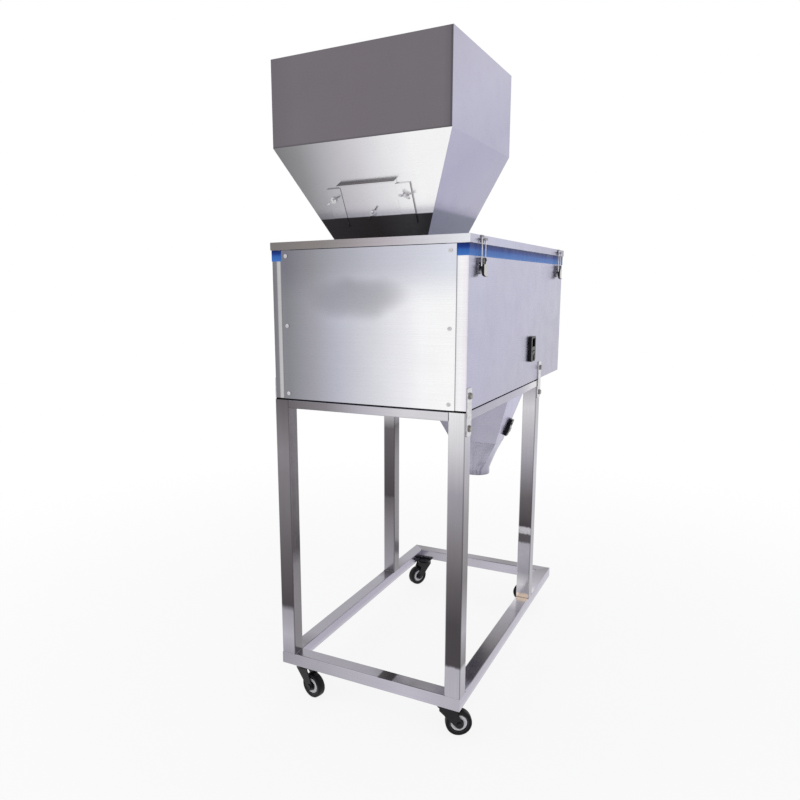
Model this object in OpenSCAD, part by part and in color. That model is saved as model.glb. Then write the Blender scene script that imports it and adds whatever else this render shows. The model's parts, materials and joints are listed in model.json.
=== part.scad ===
// Dosing packing machine: a steel hopper feeds a vibrating tray in a cabinet, which doses into a
// weigh bucket and a discharge chute, on a tube stand with casters. Millimetres, +Z up.
// The operator stands at the front, -Y. Left is -X. The origin is on the floor under the middle.

/* [Stand] */
// Width over the legs of the stand and over the cabinet
stand_w = 480; // [420:1:560]
// Length of the base rails from front to back
base_len = 870; // [800:1:960]
// Depth over the legs from front to back
leg_span = 638; // [560:1:660]
// Height of the stand from the underside of its base rails
stand_h = 690; // [560:1:800]
// Side of the square leg tube
tube = 38; // [34:1:42]
// Wall of every tube
tube_wall = 1.5; // [1.2:0.1:2]
// Outer corner radius of the tubes
tube_r = 3; // [2.5:0.5:4]
// Height of the base rails
base_rail_h = 32; // [25:1:40]
// Height of the top rails
top_rail_h = 20; // [16:1:30]
// Thickness of the rubber strip between the stand and the cabinet
seat_t = 3; // [2:0.5:5]
// Width of the rubber strip
seat_w = 28; // [20:1:32]

/* [Joining plates] */
// Width of a joining plate
join_w = 26; // [20:1:32]
// Height of a joining plate
join_h = 104; // [90:1:120]
// Thickness of a joining plate
join_t = 3; // [2:0.5:5]
// Distance between a plate's two bolts
join_pitch = 70; // [60:1:78]
// Shank diameter of a joining bolt
join_bolt_d = 8; // [6:0.5:10]

/* [Casters] */
// Height of a caster, from the floor to the base rails
caster_h = 88; // [84:1:100]
// Diameter of a caster wheel
wheel_d = 63; // [56:1:68]
// Width of a caster wheel
wheel_w = 22; // [18:1:26]
// Thickness of the tyre
tyre_t = 8; // [6:0.5:10]
// Distance between the swivel axis and the wheel axle
caster_trail = 30; // [24:1:32]
// Angle from above that the rear left caster stands at, 0 with its trail towards -X
turn_rear_left = 30; // [-180:1:180]
// Angle that the rear right caster stands at
turn_rear_right = -15; // [-180:1:180]
// Angle that the front left caster stands at
turn_front_left = 180; // [-180:1:180]
// Angle that the front right caster stands at
turn_front_right = -118; // [-180:1:180]
// Swivel axis, from the side of the stand
caster_in_x = 46; // [42:1:60]
// Swivel axis, from the end of the base
caster_in_y = 36; // [32:1:50]
// Side of the square caster plate
plate_side = 54; // [48:1:60]
// Thickness of the caster plate
plate_t = 3; // [2:0.5:4]
// Diameter of the wheel axle
axle_d = 8; // [6:0.5:10]

/* [Cabinet] */
// Length of the cabinet over its corner posts
cabinet_len = 855; // [830:1:860]
// Height of the cabinet under its lid
cabinet_h = 362; // [340:1:420]
// Distance of the cabinet's rear from the stand's rear
cabinet_back = 5; // [3:1:8]
// Thickness of the cabinet, lid and hopper sheet
sheet = 2; // [1.5:0.1:2.5]
// Width of a corner post that shows beside an end panel
post_show = 26; // [20:1:34]
// Width of a corner post in all
post_w = 50; // [46:1:60]
// Width of the folded flanges
flange_w = 15; // [12:1:20]
// Thickness of the end panels
panel_t = 1.5; // [1:0.1:2]
// Distance of the panel screws from the panel's edges
screw_in = 13; // [10:1:15]
// Head diameter of a panel screw
screw_head_d = 9; // [7:0.5:12]

/* [Lid] */
// Depth of the lid's turned-down lip
lid_lip = 18; // [14:1:24]
// How far the lid's lip stands out from the cabinet
lid_over = 3; // [3:0.1:4]
// Height of the blue seal band under the lid
seal_h = 25; // [18:1:30]
// Thickness of the blue seal band
seal_t = 0.8; // [0.5:0.1:1]

/* [Latches] */
// Distance of a latch from the nearer end of the cabinet
latch_in = 70; // [60:1:90]
// Distance between a lever's pivot and its bail pivot
latch_crank = 12; // [11:0.5:13]
// Length of a lever below its pivot
lever_len = 34; // [30:1:38]
// Width of a lever
lever_w = 18; // [17:0.5:19]
// Wire diameter of a bail
bail_d = 3; // [2.6:0.1:3.2]
// Distance between the middles of a bail's two legs
bail_w = 24; // [23.5:0.5:26]

/* [Power inlet] */
// Distance of the inlet from the stand's rear
inlet_back = 520; // [480:1:560]
// Height of the inlet's middle over the cabinet's bottom
inlet_up = 92; // [80:1:130]
// Width of the inlet's bezel
inlet_w = 46; // [44:1:52]
// Height of the inlet's bezel
inlet_h = 68; // [66:1:76]
// How far the bezel stands out
inlet_t = 8; // [6:0.5:9]

/* [Hopper] */
// Width of the hopper
hopper_w = 420; // [380:1:460]
// Length of the hopper from front to back
hopper_len = 390; // [360:1:420]
// Height of the hopper's straight upper part
hopper_box_h = 184; // [150:1:220]
// Height of the hopper's sloping lower part over the lid
hopper_slope_h = 200; // [180:1:230]
// How far the hopper stands out behind the stand
hopper_back_over = 22; // [10:1:30]
// Width of the hopper's throat at the lid
throat_w = 230; // [200:1:250]
// Length of the hopper's throat at the lid
throat_len = 230; // [200:1:250]
// Distance of the throat's rear edge from the hopper's rear
throat_back = 110; // [100:1:120]
// Side of the square outlet at the hopper's lower end
outlet_side = 150; // [120:1:170]
// Width of the folded hem round the hopper's top
hem_w = 12; // [8:1:16]

/* [Slide gate] */
// Width of the gate plate
gate_w = 140; // [130:1:150]
// Height of the gate plate's lower edge up the slope
gate_low = 40; // [38:1:44]
// Height of the gate plate along the slope
gate_h = 97; // [92:1:104]
// Thickness of the gate plate
gate_t = 2; // [1.5:0.1:2.5]
// Depth of the gate plate's folded lip
gate_lip = 14; // [10:1:18]
// Width of the clean-out window behind the gate
window_w = 110; // [100:1:114]
// Height of the clean-out window along the slope
window_h = 60; // [50:1:62]
// Width of a guide beside the gate plate
guide_w = 30; // [28:1:34]

/* [Chute] */
// Width of the chute at its top
chute_top_w = 332; // [300:1:340]
// Length of the chute at its top from front to back
chute_top_len = 214; // [200:1:214]
// Width of the chute at the seam
chute_seam_w = 150; // [140:1:160]
// Length of the chute at the seam
chute_seam_len = 90; // [88:1:100]
// Height of the upper part of the chute
chute_h = 239; // [210:1:260]
// Height of the spout under the seam
spout_h = 111; // [100:1:130]
// Outer diameter of the spout's round end
spout_d = 84; // [80:1:88]
// Length of the spout's straight round end
spout_end = 20; // [16:1:26]
// Distance of the chute's front from the cabinet's front
chute_front = 3; // [2:0.5:5]

/* [Bag switch] */
// Length of the bag switch
switch_len = 58; // [54:1:64]
// Width of the bag switch
switch_w = 24; // [22:1:28]
// Height of the bag switch
switch_t = 10; // [9:0.5:12]
// Distance of the bag switch's middle from the chute's top, along the slope
switch_down = 206; // [180:1:214]

/* [Feeder] */
// Width of the vibrating tray
tray_w = 190; // [180:1:200]
// Length of the vibrating tray
tray_len = 620; // [600:1:636]
// Depth of the vibrating tray
tray_h = 50; // [40:1:60]
// Thickness of the tray's sheet
tray_t = 2; // [1.5:0.1:2.5]
// Height of the feeder's base block
block_h = 110; // [100:1:120]
// Length of the feeder's base block
block_len = 240; // [220:1:260]
// Width of the feeder's base block
block_w = 140; // [120:1:150]
// Free height between the base block and the tray
spring_h = 100; // [90:1:105]
// Thickness of a leaf spring
spring_t = 3; // [2:0.5:4]

/* [Weigh bucket] */
// Width of the weigh bucket
bucket_w = 200; // [196:1:210]
// Length of the weigh bucket from front to back
bucket_len = 150; // [140:1:156]
// Height of the weigh bucket
bucket_h = 110; // [100:1:112]
// Wall of the weigh bucket
bucket_t = 1.5; // [1.2:0.1:2]
// Thickness of a bucket flap
flap_t = 2; // [1.5:0.1:2.5]

/* [Control panel] */
// Width of the control panel
control_w = 150; // [140:1:170]
// Height of the control panel
control_h = 110; // [100:1:120]
// How far the control panel stands out
control_t = 5; // [4:0.5:5.5]
// Height of the control panel's middle over the cabinet's bottom
control_up = 215; // [200:1:230]
// Diameter of a key
key_d = 16; // [14:0.5:18]

/* [Hidden] */
$fn = 48;
// Running clearance of a pin in its bore, on the radius
run_gap = 0.05;
// Gap between pieces that lie close and don't touch
fit_gap = 0.3;
// Overrun of every cut
over = 1;

// Levels and places that follow from the sizes above
rear_y = (base_len - hopper_back_over) / 2;
front_y = rear_y - base_len;
leg_front_y = rear_y - leg_span;
base_top_z = caster_h + base_rail_h;
stand_top_z = caster_h + stand_h;
cabinet_z = stand_top_z + seat_t;
cabinet_top_z = cabinet_z + cabinet_h;
lid_top_z = cabinet_top_z + sheet;
lip_z = lid_top_z - lid_lip;
cabinet_rear_y = rear_y - cabinet_back;
cabinet_front_y = cabinet_rear_y - cabinet_len;
floor_z = cabinet_z + 2 * sheet;
half_w = stand_w / 2;

// Rear, front and levels of the hopper
hopper_rear_y = rear_y + hopper_back_over;
hopper_front_y = hopper_rear_y - hopper_len;
throat_rear_y = hopper_rear_y - throat_back;
throat_front_y = throat_rear_y - throat_len;
throat_mid_y = (throat_rear_y + throat_front_y) / 2;
shoulder_z = lid_top_z + hopper_slope_h;
hopper_top_z = shoulder_z + hopper_box_h;
slope_angle = atan2(throat_back, hopper_slope_h);
hopper_foot_w = 18;

// Tray, bucket and outlet levels
tray_z = floor_z + block_h + spring_h;
outlet_clear = 15;
outlet_z = tray_z + tray_t + outlet_clear;
tray_rear_gap = 65;
tray_rear_y = cabinet_rear_y - tray_rear_gap;
tray_front_y = tray_rear_y - tray_len;
bucket_clear = 10;
bucket_top_z = tray_z - bucket_clear;
bucket_z = bucket_top_z - bucket_h;
tray_over_bucket = 24;
bucket_rear_y = tray_front_y + tray_over_bucket;
bucket_front_y = bucket_rear_y - bucket_len;
bucket_mid_y = (bucket_rear_y + bucket_front_y) / 2;

// Chute
chute_top_z = cabinet_z + sheet;
seam_z = chute_top_z - chute_h;
spout_z = seam_z - spout_h;
chute_front_y = cabinet_front_y + chute_front;
chute_rear_y = chute_front_y + chute_top_len;
seam_rear_y = chute_front_y + chute_seam_len;
spout_mid_y = chute_front_y + chute_seam_len / 2;
chute_angle = atan2((chute_top_w - chute_seam_w) / 2, chute_h);
chute_rim = 12;
spout_sides = 48;
spout_lap = 1;
spout_inset = 0.2;

// Latch: the pivot lies outside the panel, the bail's bar in the keeper on the lid
latch_base_t = 2;
latch_pivot_out = 7.25;
latch_pivot_drop = 33;
latch_pivot_z = lip_z - latch_pivot_drop;
latch_ear_r = 5;
latch_ear_t = 2;
latch_pin_d = 4;
latch_base_w = 26;
latch_base_h = 34;
lever_t = 2;
lever_flange_t = 2;
lever_web_out = 3.25;
lever_web_drop = 9;
lever_tip_out = 3.5;
keeper_w = 18;
keeper_h = 16;
keeper_ledge_t = 2;
keeper_lip_h = 3;
keeper_slack = 2.2;
keeper_bar_slack = 0.75;
keeper_face_out = latch_pivot_out - bail_d / 2 - keeper_bar_slack;
keeper_end_out = latch_pivot_out + bail_d / 2 + keeper_slack + keeper_ledge_t;
bail_bar_drop = 7.5;
bail_bar_z = lid_top_z - bail_bar_drop;
bail_pivot_z = latch_pivot_z - latch_crank;
lever_inner_w = 10;
latch_ear_out = lever_inner_w / 2 + lever_flange_t + fit_gap + latch_ear_t;

// Power inlet
inlet_y = rear_y - inlet_back;
inlet_z = cabinet_z + inlet_up;
inlet_corner_r = 8;
inlet_body_w = 38;
inlet_body_h = 60;
inlet_body_deep = 26;
socket_w = 28;
socket_h = 22;
socket_deep = 18;
socket_up = 17;
rocker_w = 19;
rocker_h = 24;
rocker_down = 17;
rocker_deep = 9;
rocker_pin_d = 3;
rocker_pin_in = 4;
rocker_tilt = 8;
rocker_clear = 0.8;
rocker_t = 5;
rocker_end_share = 0.46;

// Slide gate
gate_gap = 0.3;
gate_side_gap = 0.5;
guide_t = 2;
guide_grip = 4;
guide_below = 4;
guide_short = 5;
guide_low = gate_low - guide_below;
guide_h = gate_h - guide_short;
window_drop = 3;
window_low = gate_low + (gate_h - window_h) / 2 - window_drop;
wing_up_share = 0.73;
wing_up = guide_low + guide_h * wing_up_share;
wing_beside = 18;
wing_out = gate_w / 2 + wing_beside;
wing_base_d = 14;
wing_base_t = 3;
wing_stem_d = 8;
wing_stem_h = 9;
wing_span = 26;
wing_t = 3;
wing_h = 16;
wing_ear_r = 4;
pull_up_share = 0.27;
pull_up = gate_low + gate_h * pull_up_share;
pull_turn = 55;
wing_turn = 20;

// Joining plates
join_head_d = 13;
join_head_t = 5;
join_bolt_len = 12;
join_leg_y = tube / 2;

// Casters
king_d = 10;
king_head_d = 16;
king_head_t = 2.5;
fork_gap = 0.3;
fork_top_d = 44;
fork_top_t = 5;
race_d = 36;
race_t = 6;
cheek_t = 3;
cheek_gap = 2;
cheek_r = 10;
axle_head = 3;
hub_bore_r = axle_d / 2 + run_gap;
hub_rim_r = wheel_d / 2 - tyre_t;
hub_boss_r = 9;
hub_step = 1;
hub_web_t = 6;
hub_rim_t = 3;
tyre_shoulder = 4;
axle_z = wheel_d / 2;
fork_top_z = caster_h - plate_t - fork_gap;
cheek_z = fork_top_z - race_t - fork_top_t;
king_z = cheek_z - fork_gap - king_head_t;

// Screws
screw_d = 4;
screw_head_t = 3;
screw_slack = 0.3;
panel_top_gap = 1;
panel_top_z = lip_z - panel_top_gap;

// Bag switch
paddle_w = 18;
paddle_len = 34;
paddle_t = 1.5;
paddle_pocket = 7;
paddle_slack = 1;
paddle_pin_d = 3;
paddle_proud = 3;
switch_edge = 8;

// Feeder
foot_h = 40;
foot_w = 90;
foot_t = 5;
armature_w = 50;
tray_gap = 0.8;
coil_d = 60;
coil_gap = 3;
spring_low = 60;
block_ahead = 40;
block_mid_y = throat_mid_y - block_ahead;
block_r = 6;

// Weigh bucket
hinge_r = 4.5;
hinge_pin_r = 2.5;
hinge_wall_gap = 0.5;
hinge_out = hinge_r + hinge_wall_gap;
hinge_drop = 4;
lug_t = 5;
lug_gap = 1;
flap_gap = 0.6;
arm_t = 6;
arm_w = 40;
arm_up = 30;
arm_z = bucket_z + arm_up;
cell_w = 30;
cell_t = 26;
cell_x = chute_top_w / 2 + cell_t / 2;
cell_bore_r = 8;
cell_bore_gap = 22;

// Control box and panel
box_w = 90;
box_len = 220;
box_h = 150;
box_side_gap = 26;
box_r = 6;
display_w = 96;
display_h = 34;
display_t = 2;
display_up = 24;
key_down = 26;
key_pitch = 34;
key_proud = 2;
key_deep = 4;
key_gap = 0.25;
control_r = 8;

// Outlines that several pieces share

// Rectangle with round corners, centred
module round_rect(w, h, r) {
  square([w - 2 * r, h], center = true);
  square([w, h - 2 * r], center = true);
  for (x = [-1, 1], y = [-1, 1])
    translate([x * (w / 2 - r), y * (h / 2 - r)]) circle(r);
}

// Rectangular tube that stands on its end
module tube_bar(length, w, h) {
  linear_extrude(length) difference() {
    round_rect(w, h, tube_r);
    round_rect(w - 2 * tube_wall, h - 2 * tube_wall, tube_r - tube_wall);
  }
}

// Box from its lowest to its highest corner
module box(low, high) {
  translate(low) cube(high - low);
}

// Stand

module leg(side, y) {
  color("silver")
  difference() {
    translate([side * (half_w - tube / 2), y, base_top_z])
      tube_bar(stand_top_z - base_top_z, tube, tube);
    at_joins() join_holes();
  }
}

// Trapezium between the mitres of a side rail, seen from above
module side_mitre(side) {
  polygon([[side * half_w, rear_y], [side * (half_w - tube), rear_y - tube],
    [side * (half_w - tube), front_y + tube], [side * half_w, front_y]]);
}

module base_side_rails() {
  color("silver")
  for (side = [-1, 1]) intersection() {
    translate([side * (half_w - tube / 2), rear_y, caster_h + base_rail_h / 2])
      rotate([90, 0, 0]) tube_bar(base_len, tube, base_rail_h);
    translate([0, 0, caster_h]) linear_extrude(base_rail_h) side_mitre(side);
  }
}

// Trapezium between the mitres of a cross rail, seen from above
module cross_mitre(y_out, y_in) {
  polygon([[-half_w, y_out], [half_w, y_out], [half_w - tube, y_in], [tube - half_w, y_in]]);
}

module base_cross_rails() {
  color("silver")
  for (end = [[rear_y, rear_y - tube], [front_y, front_y + tube]]) intersection() {
    translate([-half_w, (end[0] + end[1]) / 2, caster_h + base_rail_h / 2])
      rotate([90, 0, 90]) tube_bar(stand_w, tube, base_rail_h);
    translate([0, 0, caster_h]) linear_extrude(base_rail_h) cross_mitre(end[0], end[1]);
  }
}

module top_side_rails() {
  color("silver")
  for (side = [-1, 1])
    translate([side * (half_w - tube / 2), rear_y - tube, stand_top_z - top_rail_h / 2])
      rotate([90, 0, 0]) tube_bar(leg_span - 2 * tube, tube, top_rail_h);
}

module top_cross_rails() {
  color("silver")
  for (y = [rear_y - tube / 2, leg_front_y + tube / 2])
    translate([tube - half_w, y, stand_top_z - top_rail_h / 2])
      rotate([90, 0, 90]) tube_bar(stand_w - 2 * tube, tube, top_rail_h);
}

// Four rubber strips on the top of the stand, with a gap at each corner
module seat_strips() {
  color("#202020") {
    for (side = [-1, 1])
      translate([side * (half_w - tube / 2) - seat_w / 2, leg_front_y + tube / 2 - seat_w / 2,
        stand_top_z])
        cube([seat_w, leg_span - tube + seat_w, seat_t]);
    for (y = [rear_y - tube / 2, leg_front_y + tube / 2])
      translate([-half_w + tube / 2 + seat_w / 2 + fit_gap, y - seat_w / 2, stand_top_z])
        cube([stand_w - tube - seat_w - 2 * fit_gap, seat_w, seat_t]);
  }
}

// The four places of a joining plate: on both sides, at the rear and the front legs
module at_joins() {
  for (side = [-1, 1], y = [rear_y - join_leg_y, leg_front_y + join_leg_y])
    translate([side * half_w, y, stand_top_z]) rotate([0, side * 90, 0]) children();
}

// Clearance holes of a plate's two bolts, through the plate, the cabinet's side and a tube's wall
module join_holes() {
  for (s = [-1, 1]) translate([s * join_pitch / 2, 0, -join_bolt_len])
    cylinder(r = join_bolt_d / 2 + screw_slack, h = join_bolt_len + join_t + over);
}

module joining_plates() {
  color("gainsboro")
  at_joins() difference() {
    linear_extrude(join_t) round_rect(join_h, join_w, join_w / 8);
    join_holes();
  }
}

// Hexagon bolt with its washer, pointing away from what it holds
module hex_bolt(d, head_d, head_t, shank) {
  translate([0, 0, -shank]) cylinder(d = d, h = shank + head_t / 2);
  cylinder(d = head_d * 1.2, h = head_t / 4);
  translate([0, 0, head_t / 4]) cylinder(d = head_d, h = head_t * 3 / 4, $fn = 6);
}

module joining_bolts() {
  color("gray")
  at_joins() for (s = [-1, 1]) translate([s * join_pitch / 2, 0, join_t])
    hex_bolt(join_bolt_d, join_head_d, join_head_t, join_bolt_len);
}

// Casters

// Places of the four casters' swivel axes
function caster_at(side, end) = [side * (half_w - caster_in_x),
  end > 0 ? rear_y - caster_in_y : front_y + caster_in_y, 0];

// Swivel angle of each caster, 0 with its trail towards -X
function caster_turn(side, end) = end > 0 ?
  (side < 0 ? turn_rear_left : turn_rear_right) : (side < 0 ? turn_front_left : turn_front_right);

module caster_plates() {
  color("#303030")
  for (side = [-1, 1], end = [-1, 1]) translate(caster_at(side, end)) {
    translate([0, 0, caster_h - plate_t]) linear_extrude(plate_t)
      round_rect(plate_side, plate_side, plate_side / 10);
    translate([0, 0, king_z]) cylinder(d = king_d, h = caster_h - plate_t / 2 - king_z);
    translate([0, 0, king_z]) cylinder(d = king_head_d, h = king_head_t);
  }
}

// Side view of a fork's cheek: from the raceway down to the axle
module cheek_outline() {
  polygon([[-caster_trail - cheek_r, axle_z], [-race_d / 2, cheek_z + fork_top_t],
    [race_d / 2, cheek_z + fork_top_t], [race_d / 2, cheek_z - fork_top_t],
    [-caster_trail + cheek_r * 0.8, axle_z - cheek_r * 0.6]]);
  translate([-caster_trail, axle_z]) circle(cheek_r);
}

module fork(side, end) {
  inner = wheel_w / 2 + cheek_gap;
  color("#181818")
  translate(caster_at(side, end)) rotate([0, 0, caster_turn(side, end)]) {
    for (s = [-1, 1])
      translate([0, s > 0 ? inner + cheek_t : -inner, 0]) rotate([90, 0, 0])
        linear_extrude(cheek_t) cheek_outline();
    difference() {
      union() {
        translate([0, 0, cheek_z + fork_top_t]) cylinder(d = race_d, h = race_t);
        translate([0, 0, cheek_z]) cylinder(d = fork_top_d, h = fork_top_t);
        box([-race_d / 2, -inner - cheek_t, cheek_z], [race_d / 2, inner + cheek_t, cheek_z + fork_top_t]);
      }
      translate([0, 0, cheek_z - over]) cylinder(r = king_d / 2 + run_gap, h = caster_h);
    }
    translate([-caster_trail, inner + cheek_t + axle_head, axle_z]) rotate([90, 0, 0])
      cylinder(d = axle_d, h = 2 * (inner + cheek_t + axle_head));
    for (s = [-1, 1]) translate([-caster_trail, s * (inner + cheek_t + axle_head / 2), axle_z])
      rotate([90, 0, 0]) cylinder(d = axle_d * 1.7, h = axle_head, center = true, $fn = 6);
  }
}

// Half section of the hub: bored boss, web and rim
module hub_section() {
  side = wheel_w / 2 - hub_step;
  web = hub_web_t / 2;
  rim_r = hub_rim_r - hub_rim_t;
  polygon([[hub_bore_r, -side], [hub_boss_r, -side], [hub_boss_r + hub_step, -web], [rim_r, -web],
    [rim_r, -side], [hub_rim_r, -side], [hub_rim_r, side], [rim_r, side], [rim_r, web],
    [hub_boss_r + hub_step, web], [hub_boss_r, side], [hub_bore_r, side]]);
}

// Half section of the tyre, with round shoulders
module tyre_section() {
  intersection() {
    translate([hub_rim_r + run_gap + (wheel_d / 2 - hub_rim_r) / 2, 0])
      square([wheel_d / 2 - hub_rim_r, wheel_w], center = true);
    union() {
      translate([0, -wheel_w / 2 + tyre_shoulder]) square([wheel_d / 2, wheel_w - 2 * tyre_shoulder]);
      translate([0, -wheel_w / 2]) square([wheel_d / 2 - tyre_shoulder, wheel_w]);
      for (s = [-1, 1]) translate([wheel_d / 2 - tyre_shoulder, s * (wheel_w / 2 - tyre_shoulder)])
        circle(tyre_shoulder);
    }
  }
}

module wheel(side, end) {
  translate(caster_at(side, end)) rotate([0, 0, caster_turn(side, end)])
    translate([-caster_trail, 0, axle_z]) rotate([90, 0, 0]) {
      color("#8a8a8e") rotate_extrude() hub_section();
      color("#151515") rotate_extrude() tyre_section();
    }
}

// Cabinet

// Places of the screws of an end panel, seen on the panel's face
module at_panel_screws() {
  x_out = half_w - post_show - screw_in;
  z_low = cabinet_z + screw_in;
  z_high = panel_top_z - screw_in;
  for (side = [-1, 1], z = [z_low, (z_low + z_high) / 2, z_high])
    translate([side * x_out, 0, z]) children();
}

module side_panel(side) {
  x_out = side * half_w;
  color("#b4b2c8")
  difference() {
    union() {
      box([min(x_out, x_out - side * sheet), cabinet_front_y, cabinet_z],
        [max(x_out, x_out - side * sheet), cabinet_rear_y, cabinet_top_z]);
      for (y = [cabinet_front_y, cabinet_rear_y - sheet])
        box([min(x_out, x_out - side * post_w), y, cabinet_z],
          [max(x_out, x_out - side * post_w), y + sheet, cabinet_top_z]);
      for (z = [cabinet_z, cabinet_top_z - sheet])
        box([min(x_out, x_out - side * flange_w), cabinet_front_y, z],
          [max(x_out, x_out - side * flange_w), cabinet_rear_y, z + sheet]);
    }
    for (y = [cabinet_front_y - over, cabinet_rear_y - sheet - over])
      translate([0, y, 0]) at_panel_screws()
        rotate([-90, 0, 0]) cylinder(r = screw_d / 2 + screw_slack, h = sheet + 2 * over);
    at_joins() join_holes();
    if (side < 0)
      translate([x_out - over, inlet_y, inlet_z]) rotate([90, 0, 90])
        linear_extrude(sheet + 2 * over)
          round_rect(inlet_body_w + 2 * fit_gap, inlet_body_h + 2 * fit_gap, inlet_corner_r / 2);
  }
}

// End panel that lies on the corner posts; its inner face is at y
module end_panel(y) {
  difference() {
    box([post_show - half_w, y, cabinet_z], [half_w - post_show, y + panel_t, panel_top_z]);
    translate([0, y - over, 0]) at_panel_screws()
      rotate([-90, 0, 0]) cylinder(r = screw_d / 2 + screw_slack, h = panel_t + 2 * over);
  }
}

module rear_panel() {
  color("#c8c8cc") end_panel(cabinet_rear_y);
}

module front_panel() {
  color("#c8c8cc") end_panel(cabinet_front_y - panel_t);
}

// Pan-head screw along +Y, with its head on the far side of the origin
module pan_screw(shank) {
  rotate([-90, 0, 0]) {
    translate([0, 0, -shank]) cylinder(d = screw_d, h = shank);
    difference() {
      intersection() {
        cylinder(d = screw_head_d, h = screw_head_t);
        translate([0, 0, screw_head_t - screw_head_d]) sphere(screw_head_d);
      }
      for (a = [0, 90]) rotate([0, 0, a]) translate([0, 0, screw_head_t])
        cube([screw_head_d * 0.6, screw_head_t / 4, screw_head_t], center = true);
    }
  }
}

module panel_screws() {
  color("white") {
    translate([0, cabinet_rear_y + panel_t, 0]) at_panel_screws() pan_screw(panel_t + sheet);
    translate([0, cabinet_front_y - panel_t, 0]) at_panel_screws()
      rotate([0, 0, 180]) pan_screw(panel_t + sheet);
  }
}

module cabinet_floor() {
  x_out = half_w - sheet - fit_gap;
  color("silver")
  difference() {
    box([-x_out, cabinet_front_y + sheet + fit_gap, cabinet_z + sheet],
      [x_out, cabinet_rear_y - sheet - fit_gap, floor_z]);
    box([-chute_top_w / 2 + chute_rim, chute_front_y + chute_rim / 2, cabinet_z],
      [chute_top_w / 2 - chute_rim, chute_rear_y - chute_rim, floor_z + over]);
  }
}

// Blue band round the cabinet's sides and the bare part of its corner posts
module seal_band() {
  z_low = lip_z - fit_gap - seal_h;
  x_in = half_w - post_show + fit_gap;
  color("#2a62b8")
  for (side = [-1, 1]) translate([0, 0, z_low]) linear_extrude(seal_h) difference() {
    polygon([[side * x_in, cabinet_front_y - seal_t], [side * (half_w + seal_t), cabinet_front_y - seal_t],
      [side * (half_w + seal_t), cabinet_rear_y + seal_t], [side * x_in, cabinet_rear_y + seal_t]]);
    polygon([[0, cabinet_front_y], [side * half_w, cabinet_front_y],
      [side * half_w, cabinet_rear_y], [0, cabinet_rear_y]]);
  }
}

module lid() {
  x_out = half_w + lid_over;
  color("#c4c3cc")
  difference() {
    box([-x_out, cabinet_front_y - lid_over, lip_z], [x_out, cabinet_rear_y + lid_over, lid_top_z]);
    box([sheet - x_out, cabinet_front_y - lid_over + sheet, lip_z - over],
      [x_out - sheet, cabinet_rear_y + lid_over - sheet, cabinet_top_z]);
    box([-throat_w / 2 - fit_gap, throat_front_y - fit_gap, lip_z],
      [throat_w / 2 + fit_gap, throat_rear_y + fit_gap, lid_top_z + over]);
  }
}

// Latches. Each is drawn on the +X side at y = 0, with x = 0 on the cabinet's panel

module at_latch(side, end) {
  y = end > 0 ? cabinet_rear_y - latch_in : cabinet_front_y + latch_in;
  translate([side * half_w, y, 0]) mirror([side > 0 ? 0 : 1, 0, 0]) children();
}

module latch_base() {
  difference() {
    union() {
      box([0, -latch_base_w / 2, latch_pivot_z + latch_ear_r - latch_base_h],
        [latch_base_t, latch_base_w / 2, latch_pivot_z + latch_ear_r]);
      for (s = [-1, 1]) translate([0, s * (latch_ear_out - latch_ear_t / 2), 0]) {
        translate([latch_pivot_out, 0, latch_pivot_z]) rotate([90, 0, 0])
          cylinder(r = latch_ear_r, h = latch_ear_t, center = true);
        box([0, -latch_ear_t / 2, latch_pivot_z - latch_ear_r],
          [latch_pivot_out, latch_ear_t / 2, latch_pivot_z + latch_ear_r]);
      }
    }
    translate([latch_pivot_out, 0, latch_pivot_z]) rotate([90, 0, 0])
      cylinder(r = latch_pin_d / 2 + run_gap, h = latch_base_w, center = true);
  }
}

module latch_bases() {
  color("gray")
  for (side = [-1, 1], end = [-1, 1]) at_latch(side, end) latch_base();
}

// Keeper on the lid's lip: a plate with a trough that the bail's bar lies in
module latch_keeper() {
  trough_z = bail_bar_z - bail_d / 2 - fit_gap;
  plate_z = trough_z - keeper_ledge_t;
  translate([0, -keeper_w / 2, 0]) {
    box([lid_over, 0, lid_top_z - keeper_h], [keeper_face_out, keeper_w, lid_top_z]);
    box([lid_over, 0, plate_z], [keeper_end_out, keeper_w, trough_z]);
    box([keeper_end_out - keeper_ledge_t, 0, plate_z],
      [keeper_end_out, keeper_w, trough_z + keeper_lip_h]);
  }
}

module latch_keepers() {
  color("gray")
  for (side = [-1, 1], end = [-1, 1]) at_latch(side, end) latch_keeper();
}

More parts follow.
